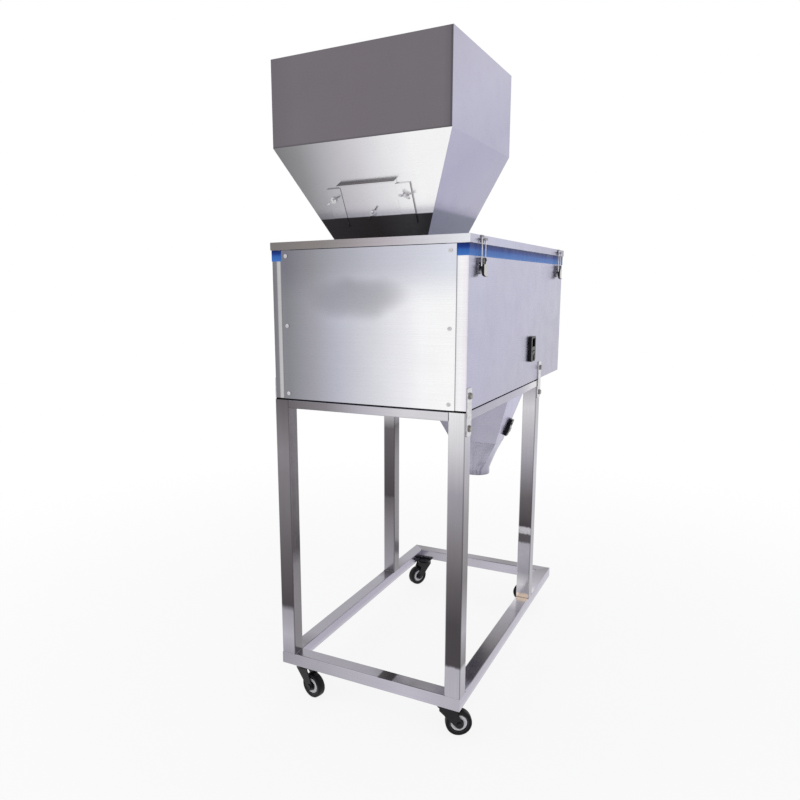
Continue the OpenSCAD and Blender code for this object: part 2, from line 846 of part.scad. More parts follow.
// Lever: two flanges, an outer web, a turned-out tip and the pin that it turns on
module lever(side, end) {
  flange_y = lever_inner_w / 2;
  web_x = latch_pivot_out + lever_web_out;
  web_top_z = latch_pivot_z - lever_web_drop;
  tip_z = latch_pivot_z - lever_len;
  color("#58585c")
  at_latch(side, end) {
    difference() {
      union() {
        for (s = [-1, 1]) translate([0, s > 0 ? flange_y + lever_flange_t : -flange_y, 0])
          rotate([90, 0, 0]) linear_extrude(lever_flange_t) {
            translate([latch_pivot_out, latch_pivot_z]) circle(latch_ear_r * 0.8);
            polygon([[latch_pivot_out - latch_ear_r * 0.8, latch_pivot_z],
              [latch_pivot_out + latch_ear_r * 0.8, latch_pivot_z],
              [web_x, web_top_z], [web_x + lever_t / 2, tip_z],
              [latch_pivot_out, tip_z + lever_t],
              [latch_pivot_out - latch_ear_r * 0.8, bail_pivot_z - bail_d]]);
          }
        box([web_x, -lever_w / 2, tip_z], [web_x + lever_t, lever_w / 2, web_top_z]);
        translate([web_x, 0, tip_z]) rotate([90, 0, 0]) linear_extrude(lever_w, center = true)
          polygon([[0, 0], [lever_t, 2 * lever_t], [lever_t + lever_tip_out, 0],
            [lever_tip_out, -lever_t / 2]]);
      }
      translate([latch_pivot_out, 0, bail_pivot_z]) rotate([90, 0, 0])
        cylinder(r = bail_d / 2 + run_gap, h = lever_w, center = true);
    }
    translate([latch_pivot_out, 0, latch_pivot_z]) rotate([90, 0, 0])
      cylinder(d = latch_pin_d, h = 2 * latch_ear_out, center = true);
  }
}

// Bail: a wire bent into a frame, with its ends in the lever's flanges
module bail(side, end) {
  reach = (bail_w + bail_d) / 2 - lever_inner_w / 2;
  color("#9a9aa0")
  at_latch(side, end) translate([latch_pivot_out, 0, 0]) {
    for (s = [-1, 1]) {
      translate([0, s * bail_w / 2, bail_pivot_z]) cylinder(d = bail_d, h = bail_bar_z - bail_pivot_z);
      translate([0, s * bail_w / 2, bail_pivot_z]) rotate([s * 90, 0, 0])
        cylinder(d = bail_d, h = reach - bail_d / 2);
      for (z = [bail_pivot_z, bail_bar_z]) translate([0, s * bail_w / 2, z]) sphere(d = bail_d);
    }
    translate([0, bail_w / 2, bail_bar_z]) rotate([90, 0, 0]) cylinder(d = bail_d, h = bail_w);
  }
}

// Power inlet, drawn with +Z out of the panel, +X up and Y across

module at_inlet() {
  translate([-half_w, inlet_y, inlet_z]) rotate([0, -90, 0]) children();
}

module power_inlet() {
  pocket_h = rocker_h + 2 * rocker_clear;
  pocket_w = rocker_w + 2 * fit_gap;
  color("#161616")
  at_inlet() difference() {
    union() {
      linear_extrude(inlet_t) round_rect(inlet_h, inlet_w, inlet_corner_r);
      translate([0, 0, -inlet_body_deep]) linear_extrude(inlet_body_deep)
        round_rect(inlet_body_h, inlet_body_w, inlet_corner_r / 2);
    }
    translate([socket_up, 0, inlet_t - socket_deep]) linear_extrude(socket_deep + over)
      round_rect(socket_h, socket_w, inlet_corner_r / 3);
    translate([-rocker_down - pocket_h / 2, -pocket_w / 2, inlet_t - rocker_deep])
      cube([pocket_h, pocket_w, rocker_deep + over]);
    translate([-rocker_down, 0, inlet_t - rocker_pin_in]) rotate([90, 0, 0])
      cylinder(r = rocker_pin_d / 2 + run_gap, h = rocker_w + 2 * rocker_pin_d, center = true);
  }
}

// Rocker with its two trunnions, off and so tilted to one side
module power_rocker() {
  color("#7a1414")
  at_inlet() translate([-rocker_down, 0, inlet_t - rocker_pin_in]) rotate([0, -rocker_tilt, 0]) {
    rotate([90, 0, 0]) linear_extrude(rocker_w, center = true)
      polygon([[-rocker_h / 2, rocker_t * 0.75], [0, rocker_t / 2], [rocker_h / 2, rocker_t * 0.75],
        [rocker_h * rocker_end_share, 0], [rocker_h / 6, -rocker_t / 2], [-rocker_h / 6, -rocker_t / 2],
        [-rocker_h * rocker_end_share, 0]]);
    rotate([90, 0, 0])
      cylinder(d = rocker_pin_d, h = rocker_w + 2 * (fit_gap + rocker_pin_d / 2), center = true);
  }
}

// Chute

// Solid between two outlines: one seen from the front, one seen from the side
module two_way_prism(front_points, side_points, w, y_low, y_high) {
  intersection() {
    translate([0, y_high, 0]) rotate([90, 0, 0]) linear_extrude(y_high - y_low) polygon(front_points);
    translate([-w / 2, 0, 0]) rotate([90, 0, 90]) linear_extrude(w) polygon(side_points);
  }
}

// Outline of the chute from the front, drawn in by t on each side
function chute_front_points(t, up, down) = [[-chute_top_w / 2 + t, chute_top_z + up],
  [-chute_top_w / 2 + t, chute_top_z], [-chute_seam_w / 2 + t, seam_z],
  [-chute_seam_w / 2 + t, seam_z - down], [chute_seam_w / 2 - t, seam_z - down],
  [chute_seam_w / 2 - t, seam_z], [chute_top_w / 2 - t, chute_top_z],
  [chute_top_w / 2 - t, chute_top_z + up]];

// Outline of the chute from the side
function chute_side_points(t, up, down) = [[chute_front_y + t, chute_top_z + up],
  [chute_front_y + t, seam_z - down], [seam_rear_y - t, seam_z - down], [seam_rear_y - t, seam_z],
  [chute_rear_y - t, chute_top_z], [chute_rear_y - t, chute_top_z + up]];

module chute() {
  color("#b8b6c6")
  difference() {
    union() {
      two_way_prism(chute_front_points(0, 0, 0), chute_side_points(0, 0, 0),
        chute_top_w, chute_front_y, chute_rear_y);
      box([-chute_top_w / 2 - chute_rim, chute_front_y, chute_top_z - sheet],
        [chute_top_w / 2 + chute_rim, chute_rear_y + chute_rim, chute_top_z]);
    }
    two_way_prism(chute_front_points(sheet, over, over), chute_side_points(sheet, over, over),
      chute_top_w, chute_front_y, chute_rear_y);
  }
}

// One ring of the spout's taper: share 0 is the rectangle at the seam, share 1 the round end
function spout_ring(share, t, z) = [for (i = [0 : spout_sides - 1])
  let (a = 360 * i / spout_sides,
    to_edge = (1 - share) / max(abs(cos(a)), abs(sin(a))),
    r = share * (spout_d / 2 - t))
  [cos(a) * (to_edge * (chute_seam_w / 2 - t) + r),
    spout_mid_y + sin(a) * (to_edge * (chute_seam_len / 2 - t) + r), z]];

// Four triangles that close one side of the wall between two rings, or one of its ends
function ring_faces(low, high) = [for (i = [0 : spout_sides - 1])
  let (k = (i + 1) % spout_sides)
  each [[low + i, low + k, high + k], [low + i, high + k, high + i]]];

// Tapering wall between the seam and the round end; its end lies inside the wall of the round end
module spout_taper() {
  levels = [[0, seam_z], [1, spout_z + spout_end + spout_lap], [1, spout_z + spout_end - spout_lap]];
  outer = [for (level = levels) each spout_ring(level[0], spout_inset * level[0], level[1])];
  inner = [for (level = levels) each spout_ring(level[0], sheet - spout_inset * level[0], level[1])];
  n = spout_sides;
  polyhedron(concat(outer, inner), concat(
    ring_faces(0, n), ring_faces(n, 2 * n), ring_faces(2 * n, 5 * n),
    ring_faces(5 * n, 4 * n), ring_faces(4 * n, 3 * n), ring_faces(3 * n, 0)));
}

module spout() {
  color("#aeacbc") {
    spout_taper();
    translate([0, spout_mid_y, spout_z]) difference() {
      cylinder(d = spout_d, h = spout_end);
      translate([0, 0, -over]) cylinder(r = spout_d / 2 - sheet, h = spout_end + 2 * over);
    }
  }
}

// Bag switch on the chute's left slope: local +Z runs up the slope and -X points outwards
module on_chute_side() {
  translate([-chute_top_w / 2, chute_front_y + switch_edge + switch_w / 2, chute_top_z])
    rotate([0, -chute_angle, 0]) translate([0, 0, -switch_down]) children();
}

module bag_switch() {
  color("#151515")
  on_chute_side() difference() {
    translate([-switch_t, 0, 0]) rotate([90, 0, 90]) linear_extrude(switch_t)
      round_rect(switch_w, switch_len, switch_w / 5);
    box([-switch_t - over, -paddle_w / 2 - fit_gap, -paddle_len / 2 - paddle_slack],
      [paddle_pocket - switch_t, paddle_w / 2 + fit_gap, paddle_len / 2 + paddle_slack]);
    translate([-switch_t / 2, 0, paddle_len / 2 - paddle_pin_d]) rotate([90, 0, 0])
      cylinder(r = paddle_pin_d / 2 + run_gap, h = switch_w - paddle_pin_d / 2, center = true);
  }
}

// Paddle that a bag's neck presses: it turns on a pin at its upper end
module bag_paddle() {
  color("#6c6c70")
  on_chute_side() translate([-switch_t / 2, 0, paddle_len / 2 - paddle_pin_d]) {
    rotate([90, 0, 0]) linear_extrude(paddle_w, center = true)
      polygon([[-paddle_t, paddle_t], [0, paddle_t], [paddle_t, 0], [paddle_t / 2, -paddle_t],
        [-paddle_t - paddle_proud / 2, -paddle_len + 2 * paddle_pin_d],
        [-switch_t / 2 - paddle_proud, -paddle_len + 2 * paddle_pin_d],
        [-switch_t / 2 - paddle_proud, -paddle_len / 2]]);
    rotate([90, 0, 0]) cylinder(d = paddle_pin_d, h = switch_w - paddle_pin_d, center = true);
  }
}

// Hopper

function hopper_front_points(t, up, down) = [[-hopper_w / 2 + t, hopper_top_z + up],
  [-hopper_w / 2 + t, shoulder_z], [-throat_w / 2 + t, lid_top_z], [-outlet_side / 2 + t, outlet_z - down],
  [outlet_side / 2 - t, outlet_z - down], [throat_w / 2 - t, lid_top_z], [hopper_w / 2 - t, shoulder_z],
  [hopper_w / 2 - t, hopper_top_z + up]];

function hopper_side_points(t, up, down) = [[hopper_front_y + t, hopper_top_z + up],
  [hopper_front_y + t, shoulder_z], [throat_front_y + t, lid_top_z],
  [throat_mid_y - outlet_side / 2 + t, outlet_z - down],
  [throat_mid_y + outlet_side / 2 - t, outlet_z - down], [throat_rear_y - t, lid_top_z],
  [hopper_rear_y - t, shoulder_z], [hopper_rear_y - t, hopper_top_z + up]];

module hopper_solid(t, up, down) {
  two_way_prism(hopper_front_points(t, up, down), hopper_side_points(t, up, down),
    hopper_w, hopper_front_y, hopper_rear_y);
}

// Local frame on the rear slope: +Z runs up the slope from the lid, +Y points outwards
module on_slope() {
  translate([0, throat_rear_y, lid_top_z]) rotate([-slope_angle, 0, 0]) children();
}

// Guide beside the gate plate: a spacer strip with a strip that grips over the plate's edge
module gate_guide(side) {
  x_in = gate_w / 2 + gate_side_gap;
  grip_y = 2 * gate_gap + gate_t;
  mirror([side > 0 ? 0 : 1, 0, 0]) {
    box([x_in, -sheet / 2, guide_low], [x_in + guide_w, grip_y + guide_t, guide_low + guide_h]);
    box([x_in - guide_grip, grip_y, guide_low], [x_in + guide_w, grip_y + guide_t, guide_low + guide_h]);
  }
}

module hopper() {
  color("#a9a6b2")
  difference() {
    union() {
      difference() {
        union() {
          hopper_solid(0, 0, 0);
          box([-throat_w / 2 - hopper_foot_w, throat_front_y - hopper_foot_w, lid_top_z],
            [throat_w / 2 + hopper_foot_w, throat_rear_y + hopper_foot_w, lid_top_z + sheet]);
        }
        hopper_solid(sheet, over, over);
      }
      difference() {
        box([-hopper_w / 2, hopper_front_y, hopper_top_z - sheet],
          [hopper_w / 2, hopper_rear_y, hopper_top_z]);
        box([hem_w - hopper_w / 2, hopper_front_y + hem_w, hopper_top_z - 2 * sheet],
          [hopper_w / 2 - hem_w, hopper_rear_y - hem_w, hopper_top_z + over]);
      }
      on_slope() for (side = [-1, 1]) gate_guide(side);
    }
    on_slope() box([-window_w / 2, -3 * sheet, window_low], [window_w / 2, over, window_low + window_h]);
  }
}

// Head of a wing screw, standing on the XZ plane and pointing along +Y
module wing() {
  ear_x = wing_span / 2 - wing_ear_r;
  ear_y = wing_h - wing_ear_r;
  rotate([-90, 0, 0]) {
    cylinder(d = wing_base_d, h = wing_base_t);
    cylinder(d = wing_stem_d, h = wing_stem_h);
  }
  linear_extrude(wing_t, center = true) for (s = [-1, 1]) {
    translate([s * ear_x, ear_y]) circle(wing_ear_r);
    polygon([[0, wing_base_t / 2], [s * wing_stem_d / 3, wing_base_t / 2],
      [s * (ear_x + wing_ear_r * 0.9), ear_y], [s * (ear_x - wing_ear_r * 0.9), ear_y],
      [0, wing_base_t * 2]]);
  }
}

module gate_plate() {
  color("#c6c5cd")
  on_slope() {
    box([-gate_w / 2, gate_gap, gate_low], [gate_w / 2, gate_gap + gate_t, gate_low + gate_h]);
    box([-gate_w / 2, gate_gap, gate_low + gate_h - gate_t],
      [gate_w / 2, gate_gap + gate_lip, gate_low + gate_h]);
    translate([0, gate_gap + gate_t, pull_up]) rotate([0, pull_turn, 0]) wing();
  }
}

module gate_screws() {
  color("gainsboro")
  on_slope() for (side = [-1, 1])
    translate([side * wing_out, 2 * gate_gap + gate_t + guide_t, wing_up])
      rotate([0, side * wing_turn, 0]) wing();
}

// Feeder

module feeder_base() {
  color("#4a5a6a")
  translate([0, block_mid_y, floor_z]) {
    linear_extrude(block_h) round_rect(block_w, block_len, block_r);
    cylinder(d = coil_d, h = block_h + spring_h - foot_h - coil_gap);
  }
}

// Leaf springs on both ends of the base block, up beside the tray's foot
module leaf_springs() {
  color("#c0a060")
  for (s = [-1, 1])
    translate([-foot_w / 2, block_mid_y + s * (block_len + spring_t) / 2 - spring_t / 2,
      floor_z + spring_low])
      cube([foot_w, spring_t, block_h + spring_h - spring_low - tray_gap]);
}

// Open trough with a closed rear end, on two cross plates that its springs carry, with the
// armature block over the coil between them
module feeder_tray() {
  color("#c8c8cc") {
    difference() {
      box([-tray_w / 2, tray_front_y, tray_z], [tray_w / 2, tray_rear_y, tray_z + tray_h]);
      box([tray_t - tray_w / 2, tray_front_y - over, tray_z + tray_t],
        [tray_w / 2 - tray_t, tray_rear_y - tray_t, tray_z + tray_h + over]);
    }
    for (s = [-1, 1])
      translate([-foot_w / 2, block_mid_y + s * (block_len / 2 - tray_gap - foot_t / 2) - foot_t / 2,
        tray_z - foot_h])
        cube([foot_w, foot_t, foot_h + tray_t / 2]);
    box([-armature_w / 2, block_mid_y - armature_w / 2, tray_z - foot_h],
      [armature_w / 2, block_mid_y + armature_w / 2, tray_z + tray_t / 2]);
  }
}

// Weigh bucket: four walls, hinge lugs with their pins and an arm on the load cell
module weigh_bucket() {
  color("#bcbcc4") {
    difference() {
      box([-bucket_w / 2, bucket_front_y, bucket_z], [bucket_w / 2, bucket_rear_y, bucket_top_z]);
      box([bucket_t - bucket_w / 2, bucket_front_y + bucket_t, bucket_z - over],
        [bucket_w / 2 - bucket_t, bucket_rear_y - bucket_t, bucket_top_z + over]);
    }
    for (end = [[bucket_front_y, -1], [bucket_rear_y, 1]]) {
      hinge_y = end[0] + end[1] * hinge_out;
      for (s = [-1, 1]) translate([s * (bucket_w / 2 - lug_t / 2), 0, 0]) {
        box([-lug_t / 2, min(end[0] - end[1] * bucket_t, hinge_y), bucket_z - hinge_drop],
          [lug_t / 2, max(end[0] - end[1] * bucket_t, hinge_y), bucket_z + hinge_r]);
        translate([0, hinge_y, bucket_z - hinge_drop]) rotate([0, 90, 0])
          cylinder(r = hinge_r, h = lug_t, center = true);
      }
      translate([0, hinge_y, bucket_z - hinge_drop]) rotate([0, 90, 0])
        cylinder(r = hinge_pin_r, h = bucket_w - lug_t, center = true);
    }
    box([bucket_w / 2 - bucket_t, bucket_mid_y - arm_w / 2, arm_z],
      [cell_x + cell_t / 2, bucket_mid_y + arm_w / 2, arm_z + arm_t]);
  }
}

// Flap under one half of the bucket; end is -1 at the front and 1 at the rear
module flap(end) {
  hinge_y = end < 0 ? bucket_front_y - hinge_out : bucket_rear_y + hinge_out;
  edge_y = bucket_mid_y + end * flap_gap / 2;
  plate_w = bucket_w - 2 * lug_t - 2 * lug_gap;
  plate_top = bucket_z - fit_gap;
  color("#a8a8b2")
  difference() {
    union() {
      translate([0, hinge_y, bucket_z - hinge_drop]) rotate([0, 90, 0])
        cylinder(r = hinge_r, h = plate_w, center = true);
      box([-plate_w / 2, min(hinge_y, edge_y), plate_top - flap_t],
        [plate_w / 2, max(hinge_y, edge_y), plate_top]);
    }
    translate([0, hinge_y, bucket_z - hinge_drop]) rotate([0, 90, 0])
      cylinder(r = hinge_pin_r + run_gap, h = bucket_w, center = true);
  }
}

// Load cell: an upright bar with the double bore of a single-point cell
module load_cell() {
  color("#b0b0b4")
  difference() {
    box([cell_x - cell_t / 2, bucket_mid_y - cell_w / 2, floor_z],
      [cell_x + cell_t / 2, bucket_mid_y + cell_w / 2, arm_z]);
    for (s = [-1, 1]) translate([cell_x, bucket_mid_y, (floor_z + arm_z) / 2 + s * cell_bore_gap / 2])
      rotate([0, 90, 0]) cylinder(r = cell_bore_r, h = 2 * cell_t, center = true);
  }
}

module control_box() {
  color("#d0d0d0")
  translate([half_w - sheet - box_side_gap - box_w / 2, block_mid_y, floor_z]) linear_extrude(box_h)
    round_rect(box_w, box_len, box_r);
}

// Control panel on the front, drawn with +Z out of the panel, +X across and +Y up

module at_control() {
  translate([0, cabinet_front_y - panel_t, cabinet_z + control_up]) rotate([90, 0, 0]) children();
}

module control_panel() {
  color("#3a3e44")
  at_control() difference() {
    linear_extrude(control_t) round_rect(control_w, control_h, control_r);
    translate([-display_w / 2 - fit_gap, display_up - display_h / 2 - fit_gap, control_t - display_t])
      cube([display_w + 2 * fit_gap, display_h + 2 * fit_gap, display_t + over]);
    for (i = [-1, 0, 1]) translate([i * key_pitch, -key_down, control_t - key_deep])
      cylinder(r = key_d / 2 + key_gap, h = key_deep + over);
  }
}

module display_window() {
  color("#101820")
  at_control() translate([-display_w / 2, display_up - display_h / 2, control_t - display_t])
    cube([display_w, display_h, display_t]);
}

module key(i, tint) {
  color(tint)
  at_control() translate([i * key_pitch, -key_down, control_t - key_deep + key_proud]) {
    cylinder(d = key_d, h = key_deep - key_proud / 2);
    cylinder(d = key_d - key_proud, h = key_deep);
  }
}

leg(-1, rear_y - tube / 2);  // leg_rear_left
leg(1, rear_y - tube / 2);  // leg_rear_right
leg(-1, leg_front_y + tube / 2);  // leg_front_left
leg(1, leg_front_y + tube / 2);  // leg_front_right
base_side_rails();
base_cross_rails();
top_side_rails();
top_cross_rails();
joining_plates();
joining_bolts();
seat_strips();
caster_plates();
fork(-1, 1);  // fork_rear_left
fork(1, 1);  // fork_rear_right
fork(-1, -1);  // fork_front_left
fork(1, -1);  // fork_front_right
wheel(-1, 1);  // wheel_rear_left
wheel(1, 1);  // wheel_rear_right
wheel(-1, -1);  // wheel_front_left
wheel(1, -1);  // wheel_front_right
side_panel(-1);  // side_panel_left
side_panel(1);  // side_panel_right
rear_panel();
front_panel();
cabinet_floor();
panel_screws();
seal_band();
lid();
latch_bases();
latch_keepers();
lever(-1, 1);  // lever_rear_left
lever(1, 1);  // lever_rear_right
lever(-1, -1);  // lever_front_left
lever(1, -1);  // lever_front_right
bail(-1, 1);  // bail_rear_left
bail(1, 1);  // bail_rear_right
bail(-1, -1);  // bail_front_left
bail(1, -1);  // bail_front_right
power_inlet();
power_rocker();
chute();
spout();
bag_switch();
bag_paddle();
hopper();
gate_plate();
gate_screws();
feeder_base();
leaf_springs();
feeder_tray();
weigh_bucket();
flap(-1);  // flap_front
flap(1);  // flap_rear
load_cell();
control_box();
control_panel();
display_window();
key(-1, "#d8d8da");  // key_minus
key(0, "#2f7d3a");  // key_set
key(1, "#d8d8da");  // key_plus
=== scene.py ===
"""Dosing packing machine: materials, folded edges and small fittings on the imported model."""

import json
import math

import bmesh
import bpy
from mathutils import Matrix, Vector

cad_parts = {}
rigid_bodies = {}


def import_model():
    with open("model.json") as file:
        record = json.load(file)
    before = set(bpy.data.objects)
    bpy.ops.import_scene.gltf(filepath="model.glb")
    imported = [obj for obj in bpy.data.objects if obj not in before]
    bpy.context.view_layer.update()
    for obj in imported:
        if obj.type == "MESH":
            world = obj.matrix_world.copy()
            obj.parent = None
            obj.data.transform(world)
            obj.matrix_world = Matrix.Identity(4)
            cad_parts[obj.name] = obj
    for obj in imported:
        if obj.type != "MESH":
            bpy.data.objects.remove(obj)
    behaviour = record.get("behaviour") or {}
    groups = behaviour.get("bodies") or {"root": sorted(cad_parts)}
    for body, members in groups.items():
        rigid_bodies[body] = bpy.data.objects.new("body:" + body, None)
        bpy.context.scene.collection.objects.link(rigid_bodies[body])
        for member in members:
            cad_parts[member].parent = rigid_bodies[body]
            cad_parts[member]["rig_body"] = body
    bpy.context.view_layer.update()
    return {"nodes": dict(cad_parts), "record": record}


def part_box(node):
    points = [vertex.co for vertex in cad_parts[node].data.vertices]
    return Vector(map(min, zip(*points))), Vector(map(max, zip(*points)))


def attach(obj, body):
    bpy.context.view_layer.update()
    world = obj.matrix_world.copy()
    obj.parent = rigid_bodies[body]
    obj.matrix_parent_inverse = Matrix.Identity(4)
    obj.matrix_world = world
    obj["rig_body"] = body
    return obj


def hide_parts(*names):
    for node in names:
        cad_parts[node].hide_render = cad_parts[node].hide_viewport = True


for thing in list(bpy.data.objects):
    bpy.data.objects.remove(thing)

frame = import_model()

MM = 0.001
FIXED = "stand_and_cabinet"
CORNERS = [(end, side) for end in ("rear", "front") for side in ("left", "right")]


# Camera and studio

IMAGE_PX = 800
FOCAL_PX = 706.3
CENTRE_PX = (348.9, 420.35)
CAMERA_AT = Vector((-0.7254, 1.8170, 1.0369))
CAMERA_YAW, CAMERA_PITCH, CAMERA_ROLL = 0.5012, -0.1837, -0.011
SENSOR_MM = 36
WORLD_LIGHT = 0.62
LAMP_AIM = Vector((0, 0, 0.8))
LAMP_SIZE = 2.6
LAMPS = (("key", (-2.6, 3.4, 3.4), 26), ("fill", (3.0, 2.2, 2.6), 14), ("back", (0.5, -3.4, 3.0), 14))
FLOOR_HALF = 40.0
# The floor's own glow grows between these distances from the object, to these shares
FLOOR_FADE = (("From Min", 0.6), ("From Max", 2.6), ("To Min", 0.86), ("To Max", 1.0))


def add_camera():
    """Camera of the photograph: yaw turns it from -Y towards +X."""
    ahead = Vector((math.sin(CAMERA_YAW) * math.cos(CAMERA_PITCH),
                    -math.cos(CAMERA_YAW) * math.cos(CAMERA_PITCH), math.sin(CAMERA_PITCH)))
    level = ahead.cross(Vector((0, 0, 1))).normalized()
    upright = level.cross(ahead)
    right = level * math.cos(CAMERA_ROLL) + upright * math.sin(CAMERA_ROLL)
    up = upright * math.cos(CAMERA_ROLL) - level * math.sin(CAMERA_ROLL)
    data = bpy.data.cameras.new("camera")
    data.sensor_width = SENSOR_MM
    data.lens = SENSOR_MM * FOCAL_PX / IMAGE_PX
    data.shift_x = (IMAGE_PX / 2 - CENTRE_PX[0]) / IMAGE_PX
    data.shift_y = (CENTRE_PX[1] - IMAGE_PX / 2) / IMAGE_PX
    data.clip_start, data.clip_end = 0.05, 60
    camera = bpy.data.objects.new("camera", data)
    turn = Matrix((right, up, -ahead)).transposed().to_4x4()
    camera.matrix_world = Matrix.Translation(CAMERA_AT) @ turn
    bpy.context.collection.objects.link(camera)
    bpy.context.scene.camera = camera


def seen_mask(nodes, links):
    """1 on camera, glossy and transmission rays, 0 on the rays that light the object."""
    path = nodes.new("ShaderNodeLightPath")
    mask = path.outputs["Is Camera Ray"]
    for kind in ("Is Glossy Ray", "Is Transmission Ray"):
        either = nodes.new("ShaderNodeMath")
        either.operation = "MAXIMUM"
        links.new(mask, either.inputs[0])
        links.new(path.outputs[kind], either.inputs[1])
        mask = either.outputs[0]
    return mask


def add_world():
    """White surroundings for the camera and for reflections, softer light for the surfaces."""
    world = bpy.data.worlds.new("studio")
    world.use_nodes = True
    bpy.context.scene.world = world
    nodes, links = world.node_tree.nodes, world.node_tree.links
    nodes.clear()
    strength = nodes.new("ShaderNodeMapRange")
    strength.inputs["To Min"].default_value = WORLD_LIGHT
    strength.inputs["To Max"].default_value = 1.0
    links.new(seen_mask(nodes, links), strength.inputs["Value"])
    background = nodes.new("ShaderNodeBackground")
    background.inputs["Color"].default_value = (1, 1, 1, 1)
    links.new(strength.outputs[0], background.inputs["Strength"])
    out = nodes.new("ShaderNodeOutputWorld")
    links.new(background.outputs[0], out.inputs["Surface"])


def add_lamp(name, at, watts):
    """Large soft lamp that faces the machine and shows in no reflection."""
    data = bpy.data.lights.new(name, "AREA")
    data.shape = "RECTANGLE"
    data.size, data.size_y = LAMP_SIZE, LAMP_SIZE
    data.energy = watts
    lamp = bpy.data.objects.new(name, data)
    lamp.location = at
    lamp.rotation_euler = (LAMP_AIM - Vector(at)).to_track_quat("-Z", "Y").to_euler()
    lamp.visible_glossy = False
    bpy.context.collection.objects.link(lamp)


def add_floor():
    """Plain white floor: it keeps the object's soft shadow and fades into the background far off."""
    mesh = bpy.data.meshes.new("floor")
    corners = [(x * FLOOR_HALF, y * FLOOR_HALF, 0) for x, y in ((-1, -1), (1, -1), (1, 1), (-1, 1))]
    mesh.from_pydata(corners, [], [(0, 1, 2, 3)])
    floor = bpy.data.objects.new("floor", mesh)
    bpy.context.collection.objects.link(floor)
    material = bpy.data.materials.new("floor_white")
    material.use_nodes = True
    nodes, links = material.node_tree.nodes, material.node_tree.links
    nodes.clear()
    diffuse = nodes.new("ShaderNodeBsdfDiffuse")
    diffuse.inputs["Color"].default_value = (0.9, 0.9, 0.9, 1)
    glow = nodes.new("ShaderNodeEmission")
    spots = nodes.new("ShaderNodeTexCoord")
    away = nodes.new("ShaderNodeVectorMath")
    away.operation = "LENGTH"
    links.new(spots.outputs["Object"], away.inputs[0])
    fade = nodes.new("ShaderNodeMapRange")
    fade.interpolation_type = "SMOOTHSTEP"
    for socket, value in FLOOR_FADE:
        fade.inputs[socket].default_value = value
    links.new(away.outputs["Value"], fade.inputs["Value"])
    share = nodes.new("ShaderNodeMath")
    share.operation = "MULTIPLY"
    links.new(seen_mask(nodes, links), share.inputs[0])
    links.new(fade.outputs[0], share.inputs[1])
    mix = nodes.new("ShaderNodeMixShader")
    links.new(share.outputs[0], mix.inputs["Fac"])
    links.new(diffuse.outputs[0], mix.inputs[1])
    links.new(glow.outputs[0], mix.inputs[2])
    out = nodes.new("ShaderNodeOutputMaterial")
    links.new(mix.outputs[0], out.inputs["Surface"])
    mesh.materials.append(material)


# Materials

def tone(colour):
    """Linear colour from a hex colour as it shows on a screen."""
    parts = [int(colour[i:i + 2], 16) / 255 for i in (1, 3, 5)]
    return tuple(c / 12.92 if c <= 0.04045 else ((c + 0.055) / 1.055) ** 2.4 for c in parts)


